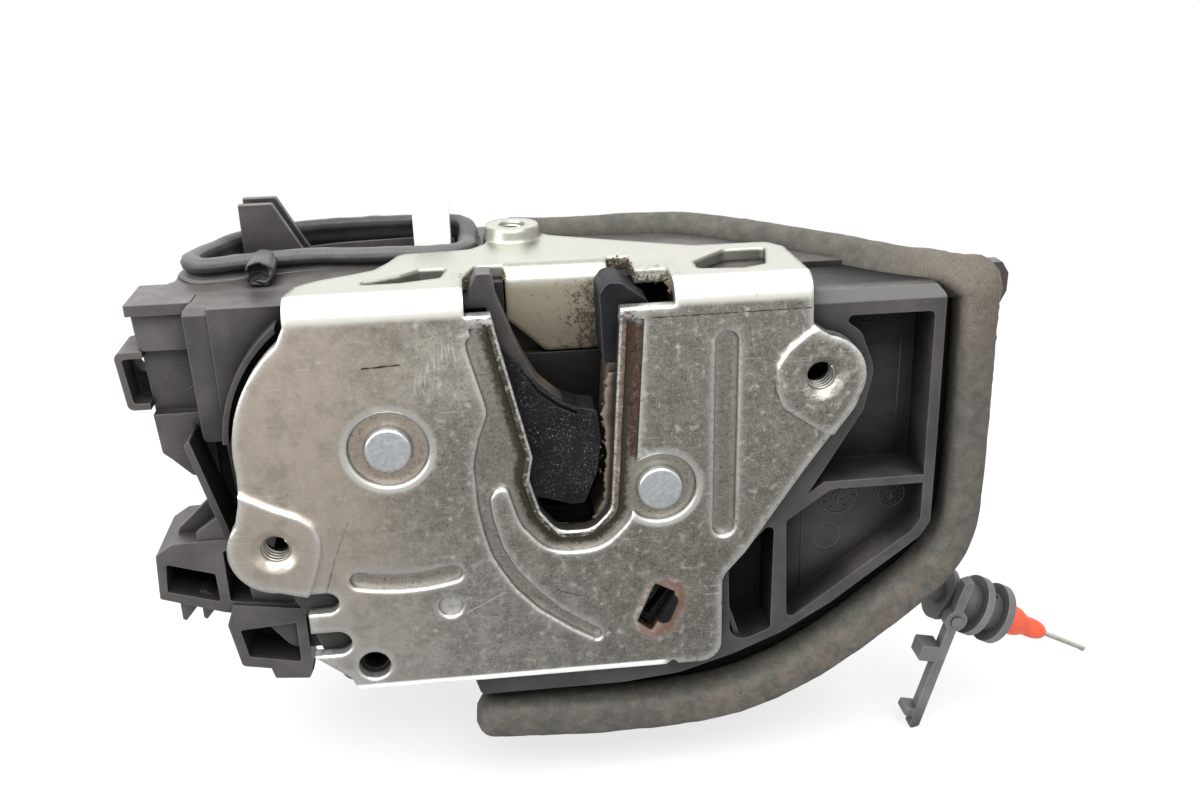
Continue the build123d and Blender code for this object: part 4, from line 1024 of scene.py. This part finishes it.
@dataclass
class LipStrand(Strand):
    """The strand of the opening: a bulge, a groove below it outside, and a skirt at its foot."""

    section: tuple[Flat, ...] = (
        (1.7, 0.0), (1.8, 1.1), (1.4, 2.0), (0.4, 2.45), (-0.7, 2.35), (-1.65, 1.8), (-2.05, 0.9),
        (-1.8, 0.1), (-1.2, -0.4), (-1.15, -0.95), (-2.2, -1.15), (-2.6, -1.6), (-2.5, -2.25),
        (-1.4, -2.45), (0.4, -2.45), (1.6, -2.3), (1.8, -1.2))

    def shaped(self, here: Vector, angle: float, across: float, rise: float) -> tuple[float, float]:
        """Follows the section's corners by the angle.

        Args:
            here: The route's point. Not used.
            angle: Angle round the section.
            across: Place across the route. Not used.
            rise: Place above the route. Not used.

        Returns:
            The new place across and above the route.
        """
        spot = (angle / (2 * math.pi) * len(self.section)) % len(self.section)
        first, share = int(spot), spot % 1.0
        a, b = self.section[first], self.section[(first + 1) % len(self.section)]
        return a[0] + (b[0] - a[0]) * share, a[1] + (b[1] - a[1]) * share


@dataclass
class DoorSeals:
    """The foam strands round the lock and the cut end of one of them."""

    skin: bpy.types.Material
    loop_skin: bpy.types.Material
    wide: float = 7.5
    deep: float = 8.9
    middle: float = 5.1
    loop_r: float = 2.45
    loop_z: float = 36.4
    loop_fall: Flat = (1.4, 52.0)
    loop_right: float = -15.0
    rear_rise: float = 0.9
    rear_from: float = 40.0
    rear_run: float = 8.0
    cut_profile: tuple[Flat, ...] = (
        (20.9, 0.2), (20.7, 0.9), (20.3, 1.5), (19.6, 1.85), (19.1, 1.95), (18.9, 2.15), (19.0, 2.45),
        (19.6, 2.6), (23.0, 2.5), (27.0, 2.3))

    def long_strand(self) -> bpy.types.Object:
        """The strand below, up the right side and back along the top.

        Returns:
            The piece.
        """
        low = [(-20.6, -48.5), (-17.4, -48.8), (-8.0, -49.4), (0.0, -49.9), (9.0, -50.0), (18.0, -49.8),
               (30.0, -48.2), (40.0, -44.4), (50.0, -38.4), (60.0, -30.6), (68.6, -22.8), (72.9, -15.0),
               (73.9, -5.0), (73.8, 8.0), (73.5, 20.0)]
        route: list[Point] = [(x, self.middle, z) for x, z in low]
        route += [(73.3, 5.3, 30.6), (72.6, 5.8, 33.8), (68.6, 8.8, 35.0), (62.0, 13.2, 34.8),
                  (54.5, 20.5, 35.2), (41.2, 33.2, 35.4), (34.0, 39.6, 35.4), (26.0, 44.8, 35.3),
                  (15.0, 46.9, 35.1), (4.0, 47.4, 34.8), (-7.8, 49.8, 34.6)]
        strand = CornerStrand("foam_strand", route, self.wide, self.deep, (0.0, -1.0, 0.0), square=3.6,
                              step=0.8, blunt=3.4)
        piece = strand.make()
        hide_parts(Node.DOOR_SEAL.value)
        return piece

    def loop_strand(self) -> bpy.types.Object:
        """The thinner strand round the opening at the top left.

        Returns:
            The piece.
        """
        corners = [
            (-16.9, 38.0), (-17.1, 34.0), (-20.5, 30.9), (-28.0, 30.2), (-36.4, 30.0), (-45.2, 30.6),
            (-51.0, 29.4), (-57.8, 27.4), (-64.2, 25.4), (-66.9, 28.4), (-66.6, 32.0), (-64.3, 37.5),
            (-60.3, 42.8), (-51.5, 47.3), (-42.5, 50.0), (-28.4, 51.4), (-19.5, 51.0), (-16.8, 46.4)]
        route = [(x, y, self.loop_z + (self.loop_right - x) * self.loop_fall[0] / self.loop_fall[1]
                  + self.rear_rise * ramp(y, self.rear_from, self.rear_run)) for x, y in corners]
        strand = LipStrand("foam_loop", route, self.loop_r * 2, self.loop_r * 2, (0.0, 0.0, 1.0),
                           step=0.7, loop=True, rough=0.12, sides=51)
        piece = strand.make()
        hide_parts(Node.LOOP_SEAL.value)
        return piece

    def cut_end(self) -> bpy.types.Object:
        """The cut end that faces forward, with a torn strip hanging from it.

        Returns:
            The piece.
        """
        rings = []
        for i, (y, radius) in enumerate(self.cut_profile):
            ring = []
            for k in range(36):
                angle = 2 * math.pi * k / 36
                spot = Vector((math.cos(angle) * 2, math.sin(angle) * 2, i * 0.5))
                ragged = 1 + 0.13 * noise.fractal(spot, 0.7, 2.0, 4)
                ring.append(place(-53.6 + radius * ragged * math.cos(angle), y + 0.3 * (ragged - 1) * 10,
                                  38.6 + radius * ragged * 0.92 * math.sin(angle)))
            rings.append(ring)
        end = lofted("end", rings)
        strip = []
        for i in range(16):
            t = i / 15
            x = -53.9 + 2.4 * t + 0.25 * math.sin(6 * t)
            z = 37.4 - 3.6 * t + 0.5 * math.sin(math.pi * t)
            wide = 1.1 - 0.5 * t + 0.25 * math.sin(9 * t)
            strip.append([place(x - wide, 19.0 + 0.5 * t, z + 0.2), place(x, 18.6 + 0.5 * t, z),
                          place(x + wide, 18.9 + 0.5 * t, z - 0.1), place(x, 19.6 + 0.5 * t, z)])
        piece = joined("foam_cut_end", [end, lofted("strip", strip)])
        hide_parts(Node.SEAL_STUB.value)
        return piece

    def make(self) -> list[bpy.types.Object]:
        """Builds and dresses the seals.

        Returns:
            The pieces.
        """
        pieces = [self.long_strand(), self.loop_strand(), self.cut_end()]
        for piece, skin in zip(pieces, (self.skin, self.loop_skin, self.loop_skin)):
            piece.data.materials.append(skin)
            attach(piece, Body.FRAME.value)
        return pieces


@dataclass
class CableEnd:
    """The red sleeve and the twisted wire that comes out of it."""

    steel: bpy.types.Material
    red: bpy.types.Material
    start: Point = (72.2, 14.0, -33.6)
    tip: float = 27.0
    first: float = 29.6
    last: float = 41.2
    strand_r: float = 0.20
    lay_r: float = 0.36
    strands: int = 7
    profile: tuple[Flat, ...] = (
        (17.5, 1.0), (17.7, 2.9), (18.6, 3.25), (20.6, 3.3), (22.6, 3.15), (23.8, 2.75), (24.8, 2.15),
        (25.7, 1.95), (26.6, 2.1), (28.2, 2.05), (29.5, 1.7), (30.3, 1.25), (30.5, 0.75))

    def sleeve(self, base: Vector, turn: Matrix) -> bpy.types.Object:
        """The shrunk red sleeve, bulged twice and a little creased.

        Args:
            base: The fitting's place.
            turn: The cable's direction.

        Returns:
            The piece.
        """
        rings = []
        for along, radius in self.profile:
            ring = []
            for k in range(40):
                angle = 2 * math.pi * k / 40
                cos, sin = math.cos(angle), math.sin(angle)
                crease = 1 + 0.05 * noise.noise(Vector((along * 0.5, cos * 1.4, sin * 1.4)))
                spot = Vector((along, radius * crease * cos, radius * crease * sin))
                ring.append((base + turn @ spot) * MM)
            rings.append(ring)
        piece = lofted("shrunk_sleeve", rings)
        smooth = piece.modifiers.new("smooth", "SUBSURF")
        smooth.levels = smooth.render_levels = 1
        piece.data.materials.append(self.red)
        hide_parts("cable_sleeve")
        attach(piece, Body.FRAME.value)
        return piece

    def make(self) -> list[bpy.types.Object]:
        """Builds the sleeve and the wire's strands, splayed at the cut.

        Returns:
            The pieces.
        """
        turn = Matrix.Rotation(math.radians(self.tip), 3, "Y")
        base = Vector(self.start)
        sleeve = self.sleeve(base, turn)
        rods = []
        for i in range(self.strands):
            rings = []
            for k in range(61):
                along = self.first + (self.last - self.first) * k / 60
                angle = 2 * math.pi * (i / self.strands + (along - self.first) / 5.2)
                splay = self.lay_r + max(0.0, along - self.last + 1.4) * 0.12
                middle = Vector((along, splay * math.cos(angle), splay * math.sin(angle)))
                ring = []
                for side in range(8):
                    bend = 2 * math.pi * side / 8
                    spot = middle + Vector((0, math.cos(bend), math.sin(bend))) * self.strand_r
                    ring.append((base + turn @ spot) * MM)
                rings.append(ring)
            rods.append(lofted(f"rod_{i}", rings))
        piece = joined("wire_strands", rods)
        piece.data.materials.append(self.steel)
        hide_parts(Node.RELEASE_WIRE.value)
        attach(piece, Body.FRAME.value)
        return [piece, sleeve]


@dataclass
class ScrewThreads:
    """Thread turns that show inside the fixing holes."""

    steel: bpy.types.Material
    pitch: float = 1.0
    bite: float = 0.28

    def helix(self, name: str, base: Vector, axis: Vector, length: float) -> bpy.types.Object:
        """One hole's thread ridge.

        Args:
            name: The piece's name.
            base: The hole's mouth, in millimetres.
            axis: The way into the hole.
            length: The thread's length.

        Returns:
            The ridge.
        """
        side = axis.orthogonal().normalized()
        other = axis.cross(side)
        per_turn = 36
        rings = []
        for i in range(int(length / self.pitch * per_turn)):
            angle = 2 * math.pi * i / per_turn
            out = side * math.cos(angle) + other * math.sin(angle)
            along = base + axis * (self.pitch * i / per_turn)
            wall = TAP_R + 0.02
            rings.append([(along + out * wall + axis * 0.42) * MM, (along + out * (TAP_R - self.bite)) * MM,
                          (along + out * wall - axis * 0.42) * MM])
        return lofted(name, rings)

    def make(self) -> list[bpy.types.Object]:
        """Builds the ridges.

        Returns:
            The pieces.
        """
        pieces = []
        for name, (x, z) in (("thread_left", FIX_LEFT), ("thread_right", FIX_RIGHT)):
            pieces.append(self.helix(name, Vector((x, 0.5, z)), Vector((0, 1, 0)), 4.0))
        pieces.append(self.helix("thread_top", Vector((*FIX_TOP, 40.4)), Vector((0, 0, -1)), 3.8))
        for piece in pieces:
            piece.data.materials.append(self.steel)
            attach(piece, Body.FRAME.value)
        return pieces


def ring_band(name: str, centre: Flat, front: float, reach: float, wide: float, high: float,
              turns: tuple[float, float] = (0.0, 360.0)) -> bpy.types.Object:
    """A flat raised band along a circle, facing forward.

    Args:
        name: The piece's name.
        centre: The circle's centre in X and Z.
        front: Depth of the surface that it stands on.
        reach: The circle's radius.
        wide: The band's width.
        high: How far it stands out.
        turns: First and last angle in degrees.

    Returns:
        The new object.
    """
    steps = max(4, int((turns[1] - turns[0]) / 8))
    whole = turns[1] - turns[0] >= 360.0
    rings = []
    for i in range(steps if whole else steps + 1):
        angle = math.radians(turns[0] + (turns[1] - turns[0]) * i / steps)
        ring = []
        for out, lift in ((-wide / 2, -SUNK), (-wide / 2 * 0.5, high), (wide / 2 * 0.5, high),
                          (wide / 2, -SUNK)):
            far = reach + out
            ring.append(place(centre[0] + far * math.cos(angle), front - lift,
                              centre[1] + far * math.sin(angle)))
        rings.append(ring)
    return lofted(name, rings, whole)


def ridge(name: str, start: Flat, end: Flat, front: float, wide: float, high: float) -> bpy.types.Object:
    """A low straight ridge on a surface that faces forward.

    Args:
        name: The piece's name.
        start: One end in X and Z.
        end: The other end.
        front: Depth of the surface.
        wide: The ridge's width.
        high: How far it stands out.

    Returns:
        The new object.
    """
    along = Vector((end[0] - start[0], 0.0, end[1] - start[1])).normalized()
    side = Vector((-along.z, 0.0, along.x)) * wide / 2
    rings = []
    for x, z in (start, end):
        here = Vector((x, front, z))
        foot, top = Vector((0, SUNK, 0)), Vector((0, high, 0))
        rings.append([(here - side + foot) * MM, (here - side * 0.5 - top) * MM,
                      (here + side * 0.5 - top) * MM, (here + side + foot) * MM])
    return lofted(name, rings)


@dataclass
class MouldMarks:
    """Small moulded signs: dated tick rings, ejector circles and parting ridges."""

    black: bpy.types.Material
    pocket: float = 8.5
    deep: float = 12.0

    def tick_ring(self, name: str, centre: Flat, reach: float) -> bpy.types.Object:
        """A ring with plain ticks and a pointer inside.

        Args:
            name: The piece's name.
            centre: The ring's centre in X and Z.
            reach: Its radius.

        Returns:
            The piece.
        """
        parts = [ring_band(f"{name}_rim", centre, self.pocket, reach, 0.34, 0.14)]
        for i in range(12):
            angle = math.radians(30 * i)
            ends = [(centre[0] + far * math.cos(angle), centre[1] + far * math.sin(angle))
                    for far in (reach * 0.66, reach * 0.86)]
            parts.append(ridge(f"{name}_tick", ends[0], ends[1], self.pocket, 0.26, 0.12))
        parts.append(ridge(f"{name}_hand", (centre[0], centre[1] - reach * 0.42),
                           (centre[0], centre[1] + reach * 0.45), self.pocket, 0.34, 0.14))
        parts.append(ring_band(f"{name}_hub", centre, self.pocket, reach * 0.34, 0.24, 0.10, (30.0, 330.0)))
        return joined(name, parts)

    def make(self) -> list[bpy.types.Object]:
        """Builds the marks.

        Returns:
            The pieces.
        """
        ejectors = [("ejector_wing", (48.9, -16.6), self.pocket, 2.8),
                    ("ejector_block", (-57.7, 28.6), 8.0, 1.9), ("ejector_side", (-68.6, 21.2), 15.0, 2.3)]
        pieces = [ring_band(*ejector, 0.3, 0.07) for ejector in ejectors]
        pieces += [self.tick_ring("tick_ring_large", (50.9, -8.3), 3.6),
                   self.tick_ring("tick_ring_small", (61.4, -8.6), 2.6)]
        for i, z in enumerate((25.6, 21.0, 16.2, 6.4)):
            pieces.append(ridge(f"pocket_line_{i}", (55.0, z), (62.5, z + 0.1), self.deep, 0.22, 0.06))
        pieces.append(ridge("pocket_fold", (62.6, -1.6), (62.2, 29.8), self.deep, 0.5, 0.10))
        pieces.append(ridge("pocket_seam", (44.0, -5.0), (44.0, -27.6), self.pocket, 0.3, 0.10))
        for piece in pieces:
            piece.data.materials.append(self.black)
            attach(piece, Body.FRAME.value)
        return pieces


@dataclass
class SlotDirt:
    """Crumbs of dirt in the mouth and the liner's torn edge."""

    dirt: bpy.types.Material
    rubber: bpy.types.Material
    seed: int = 7

    def crumb(self, name: str, at: Vector, radius: float, luck: random.Random) -> bpy.types.Object:
        """One ragged crumb.

        Args:
            name: The piece's name.
            at: Its middle.
            radius: Its size.
            luck: The source of chance.

        Returns:
            The piece.
        """
        work = bmesh.new()
        bmesh.ops.create_icosphere(work, subdivisions=2 if radius > 0.3 else 1, radius=1.0)
        shift = Vector((luck.uniform(0, 50), luck.uniform(0, 50), luck.uniform(0, 50)))
        for vert in work.verts:
            swell = 1.0 + 0.55 * noise.noise(vert.co * 1.6 + shift)
            vert.co = (at + vert.co * radius * swell) * MM
        mesh = bpy.data.meshes.new(name)
        work.to_mesh(mesh)
        work.free()
        return linked(name, mesh)

    def crumbs(self) -> bpy.types.Object:
        """Crumbs along the mouth's edges and its right corner.

        Returns:
            The piece.
        """
        luck = random.Random(self.seed)
        runs = [
            ((12.2, 9.4, 37.2), (17.6, 9.3, 36.8), 0.42, 60),
            ((17.7, 8.8, 37.0), (17.7, 4.6, 35.6), 0.36, 34),
            ((12.1, 9.6, 38.2), (12.1, 17.6, 38.0), 0.34, 26),
            ((8.4, 17.2, 37.6), (12.0, 18.2, 37.7), 0.40, 26),
            ((3.6, 14.3, 34.4), (7.6, 14.2, 30.0), 0.22, 34),
            ((-10.6, 15.2, 37.4), (-10.5, 10.2, 37.8), 0.22, 14),
            ((-17.7, 10.0, 37.2), (-15.6, 16.4, 37.4), 0.26, 18),
            ((5.6, 3.2, 21.0), (4.6, 3.2, 2.0), 0.17, 24),
        ]
        parts = []
        for start, end, size, count in runs:
            first, last = Vector(start), Vector(end)
            for _ in range(count):
                spread = Vector([luck.gauss(0, size * 0.9) for _ in range(3)])
                spread.y = abs(spread.y) * 0.4
                parts.append(self.crumb("crumb", first.lerp(last, luck.random()) + spread,
                                        size * luck.uniform(0.35, 1.0), luck))
        return joined("mouth_dirt", parts)

    def torn_edge(self) -> bpy.types.Object:
        """The liner's frayed strip along the right of the slot.

        Returns:
            The piece.
        """
        line = through([(6.2, 0.0, 22.0), (5.5, 0.0, 16.4), (5.2, 0.0, 12.3), (5.9, 0.0, 6.3),
                        (5.2, 0.0, 0.4), (4.5, 0.0, -3.7), (2.9, 0.0, -6.9)], 0.35)
        rings = []
        for i, here in enumerate(line):
            rag = noise.fractal(Vector((i * 0.33, 1.7, 0.4)), 0.5, 2.2, 5) * 0.55
            left = here.x + rag
            right = max(left + 0.6, min(8.2, 6.4 + 0.10 * (here.z + 6.0)))
            lift = 0.12 * noise.noise(Vector((i * 0.21, 5.0, 2.0)))
            section = ((left, 3.15 + lift), (left + 0.25, 2.85 + lift), (right, 2.9), (right, 3.5),
                       (left + 0.2, 3.55 + lift))
            rings.append([place(x, y, here.z) for x, y in section])
        return lofted("liner_torn_edge", rings)

    def make(self) -> list[bpy.types.Object]:
        """Builds the dirt and the torn edge.

        Returns:
            The pieces.
        """
        crumbs, edge = self.crumbs(), self.torn_edge()
        for piece, finish, slot in ((crumbs, self.dirt, "plate_steel"),
                                    (edge, self.rubber, "bumper_rubber")):
            piece.data.materials.append(finish)
            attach(piece, Body.FRAME.value)
        return [crumbs, edge]


@dataclass
class FrameDress:
    """Finishes of the CAD nodes that show as they are."""

    finishes: dict[str, bpy.types.Material]
    wearers: dict[str, str]

    def make(self) -> list[bpy.types.Object]:
        """Gives each node its material.

        Returns:
            The nodes.
        """
        dressed = []
        for finish, nodes in self.wearers.items():
            for node in nodes.split():
                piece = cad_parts[node]
                piece.data.materials.clear()
                piece.data.materials.append(self.finishes[finish])
                dressed.append(piece)
        return dressed


@dataclass
class Studio:
    """White table, soft lights and the camera."""

    floor_z: float
    half: float = 4.0
    camera_at: Point = (-15.375, -190.876, 97.898)
    right: Point = (0.99339462, -0.11267455, -0.02171554)
    down: Point = (-0.06281737, -0.37562489, -0.92464043)
    forward: Point = (0.09602655, 0.91989695, -0.38022166)

    def floor(self) -> bpy.types.Object:
        """The table: white to the camera with a soft shadow, greyer where metal mirrors its front part.

        Returns:
            The table.
        """
        corners = [Vector((x * self.half, y * self.half, self.floor_z))
                   for x, y in ((-1, -1), (1, -1), (1, 1), (-1, 1))]
        piece = mesh_piece("table", corners, [(0, 1, 2, 3)], smooth=False)
        net = Net("table_white")
        net.tree.nodes.remove(net.shader)
        matt = net.add("ShaderNodeBsdfDiffuse")
        matt.inputs["Color"].default_value = rgba((0.84, 0.83, 0.865))
        length = net.length(net.x, net.y)
        path = net.add("ShaderNodeLightPath")
        seen = net.calc("MAXIMUM", path.outputs["Is Camera Ray"], path.outputs["Is Transmission Ray"])
        far = net.calc("MULTIPLY_ADD", net.step(length, 120.0, 420.0), 0.29, 0.71)
        front = net.times(net.step(net.y, 60.0, -20.0), net.step(length, 1400.0, 300.0))
        near = net.blend(net.step(net.y, -260.0, -20.0), (0.60, 0.59, 0.57), (0.40, 0.40, 0.40))
        mirrored = net.blend(front, (0.95, 0.95, 0.95), near)
        white = net.add("ShaderNodeEmission")
        white.inputs["Strength"].default_value = 1.0
        mirror = net.add("ShaderNodeEmission")
        net.feed(mirror.inputs["Color"], mirrored)
        plain = net.add("ShaderNodeMixShader")
        net.feed(plain.inputs[0], net.times(seen, far))
        net.feed(plain.inputs[1], matt.outputs[0])
        net.feed(plain.inputs[2], white.outputs[0])
        mix = net.add("ShaderNodeMixShader")
        net.feed(mix.inputs[0], path.outputs["Is Glossy Ray"])
        net.feed(mix.inputs[1], plain.outputs[0])
        net.feed(mix.inputs[2], mirror.outputs[0])
        net.feed(net.tree.nodes["Material Output"].inputs["Surface"], mix.outputs[0])
        piece.data.materials.append(net.material)
        return piece

    def world(self) -> None:
        """White to the camera and in reflections, a soft grey light for the rest."""
        world = bpy.data.worlds.new("studio")
        world.use_nodes = True
        tree = world.node_tree
        tree.nodes.clear()
        path = tree.nodes.new("ShaderNodeLightPath")
        white = tree.nodes.new("ShaderNodeBackground")
        white.inputs["Color"].default_value = rgba((1.0, 1.0, 1.0))
        soft = tree.nodes.new("ShaderNodeBackground")
        soft.inputs["Strength"].default_value = 0.5
        soft.inputs["Color"].default_value = rgba((0.96, 0.98, 1.0))
        share = path.outputs["Is Camera Ray"]
        for ray in ("Is Glossy Ray", "Is Transmission Ray"):
            either = tree.nodes.new("ShaderNodeMath")
            either.operation = "MAXIMUM"
            tree.links.new(share, either.inputs[0])
            tree.links.new(path.outputs[ray], either.inputs[1])
            share = either.outputs[0]
        mix = tree.nodes.new("ShaderNodeMixShader")
        tree.links.new(share, mix.inputs[0])
        tree.links.new(soft.outputs[0], mix.inputs[1])
        tree.links.new(white.outputs[0], mix.inputs[2])
        out = tree.nodes.new("ShaderNodeOutputWorld")
        tree.links.new(mix.outputs[0], out.inputs["Surface"])
        bpy.context.scene.world = world

    def lamp(self, name: str, at: Point, aim: Point, wide: float, long: float,
             watts: float) -> bpy.types.Object:
        """A soft rectangular light.

        Args:
            name: The lamp's name.
            at: Where it hangs, in metres.
            aim: Where it points.
            wide: Its width.
            long: Its length.
            watts: Its power.

        Returns:
            The lamp.
        """
        data = bpy.data.lights.new(name, "AREA")
        data.shape = "RECTANGLE"
        data.size = wide
        data.size_y = long
        data.energy = watts
        lamp = linked(name, data)
        lamp.location = at
        lamp.rotation_euler = (Vector(aim) - Vector(at)).to_track_quat("-Z", "Y").to_euler()
        return lamp

    def camera(self) -> bpy.types.Object:
        """The camera, where the photograph was taken from.

        Returns:
            The camera.
        """
        data = bpy.data.cameras.new("camera")
        data.sensor_fit = "HORIZONTAL"
        data.sensor_width = 36.0
        data.lens = 36.0
        data.clip_start = 0.01
        data.clip_end = 20.0
        camera = linked("camera", data)
        axes = (self.right, tuple(-v for v in self.down), tuple(-v for v in self.forward))
        turn = Matrix(axes).transposed()
        camera.matrix_world = Matrix.Translation(place(*self.camera_at)) @ turn.to_4x4()
        bpy.context.scene.camera = camera
        return camera

    def make(self) -> list[bpy.types.Object]:
        """Builds the studio.

        Returns:
            Its objects.
        """
        self.world()
        scene = bpy.context.scene
        scene.view_settings.view_transform = "Standard"
        return [
            self.floor(),
            self.lamp("top_light", (-0.08, -0.16, 0.52), (0.0, 0.0, 0.0), 0.9, 0.6, 9.0),
            self.lamp("back_light", (0.0, 0.55, 0.35), (0.0, 0.02, 0.0), 0.9, 0.4, 1.4),
            self.lamp("left_light", (-0.62, -0.30, 0.22), (0.0, 0.0, 0.0), 0.4, 0.4, 1.8),
            self.camera(),
        ]


def finishes() -> dict[str, bpy.types.Material]:
    """Every finish of the lock.

    Returns:
        Materials by plain name.
    """
    kinds = {
        "zinc": ZincSheet(),
        "foam": FoamSkin(),
        "loop": FoamSkin("loop_skin", (0.028, 0.028, 0.029), (0.052, 0.051, 0.050), (0.13, 0.11, 0.09),
                         dusty=0.15, rough=0.5, opening=True),
        "black": MouldedPlastic("black_plastic", (0.053, 0.049, 0.047), shade=0.7, dusty=0.3),
        "carrier": MouldedPlastic("carrier_plastic", (0.038, 0.0355, 0.034), pale_above=32.4, shade=0.86,
                                  dusty=0.3),
        "fitting": MouldedPlastic("fitting_plastic", (0.100, 0.098, 0.095), dusty=0.12, rough=0.5,
                                  gloss=0.45),
        "jacket": MouldedPlastic("jacket_plastic", (0.0065, 0.007, 0.0085), (0.06, 0.048, 0.036),
                                 rough=0.45, gloss=0.10, dots=0.9, edge_light=0.45, shade=0.3),
        "bumper": MouldedPlastic("bumper_rubber", (0.008, 0.0085, 0.010), (0.07, 0.065, 0.06), rough=0.55,
                                 gloss=0.10, grain=0.08, edge_light=1.0, shade=0.3),
        "liner": MouldedPlastic("liner_rubber", (0.076, 0.064, 0.049), (0.21, 0.17, 0.12), rough=0.6,
                                dusty=0.9, gloss=0.15, grain=0.12, edge_light=0.25),
        "white": MouldedPlastic("white_plastic", (0.90, 0.90, 0.86), dust=(0.60, 0.57, 0.50), dusty=0.06,
                                rough=0.35, gloss=0.5, edge_light=0.0, shade=0.0),
        "gear": MouldedPlastic("gear_plastic", (0.62, 0.60, 0.52), dusty=0.05, rough=0.4, shade=0.1),
        "red": MouldedPlastic("red_sleeve", (0.60, 0.075, 0.028), dust=(0.72, 0.24, 0.15), dusty=0.15,
                              rough=0.4, gloss=0.5, grain=0.08, edge_light=0.2, shade=0.1),
        "board": CircuitCoat(),
        "dirt": DryDirt(),
        "rivet": CutSteel("rivet_zinc", (0.78, 0.82, 0.85), rough=0.30, stain=(0.45, 0.45, 0.46),
                          stained=0.25),
        "thread": CutSteel("thread_steel", (0.70, 0.68, 0.63), rough=0.3),
        "steel": CutSteel("lever_steel", (0.40, 0.39, 0.37), rough=0.4),
        "core": MouldedPlastic("catch_steel", (0.030, 0.028, 0.027), (0.13, 0.10, 0.07), dusty=0.9,
                               rough=0.4, gloss=0.5, edge_light=0.6, shade=0.3),
        "spring": CutSteel("spring_steel", (0.42, 0.42, 0.42), rough=0.3),
        "wire": CutSteel("wire_steel", (0.72, 0.70, 0.62), rough=0.35),
        "brass": CutSteel("tinned_brass", (0.55, 0.47, 0.28), rough=0.3),
        "can": CutSteel("motor_can", (0.5, 0.5, 0.5), rough=0.25, brushed=(0.1, 1.0, 1.0)),
    }
    return {name: kind.material() for name, kind in kinds.items()}


WEARERS = {
    "zinc": "latch_plate", "bumper": "slot_buffer", "liner": "slot_liner", "carrier": "latch_carrier",
    "steel": "backing_plate housing_screws motor_worm release_lever", "core": "catch_core pawl_core",
    "jacket": "catch_jacket pawl_jacket emergency_rotor catch_switch pawl_switch",
    "rivet": "catch_pivot pawl_pivot", "spring": "catch_spring pawl_spring", "can": "motor",
    "black": "lock_housing rear_cover rod_guide lever_guard corner_clip", "gear": "worm_wheel lock_slider",
    "white": "inside_lever", "board": "circuit_plate", "brass": "contact_pins", "foam": "door_seal",
    "loop": "loop_seal seal_stub", "fitting": "cable_conduit cable_fitting fitting_lid",
    "red": "cable_sleeve", "wire": "release_wire",
}


def main() -> None:
    """Builds every sub-assembly in order and reports its pieces."""
    logging.basicConfig(level=logging.INFO, format="%(name)s: %(message)s")
    made = finishes()
    assemblies = [
        FrameDress(made, WEARERS),
        DoorSeals(made["foam"], made["loop"]),
        CableEnd(made["wire"], made["red"]),
        ScrewThreads(made["thread"]),
        MouldMarks(made["black"]),
        SlotDirt(made["dirt"], made["liner"]),
        Studio(floor_z=CAD_BOX[0][2] - 0.0002),
    ]
    for assembly in assemblies:
        for piece in assembly.make():
            LOG.info("%s: %s", type(assembly).__name__, piece.name)


if __name__ == "__main__":
    main()
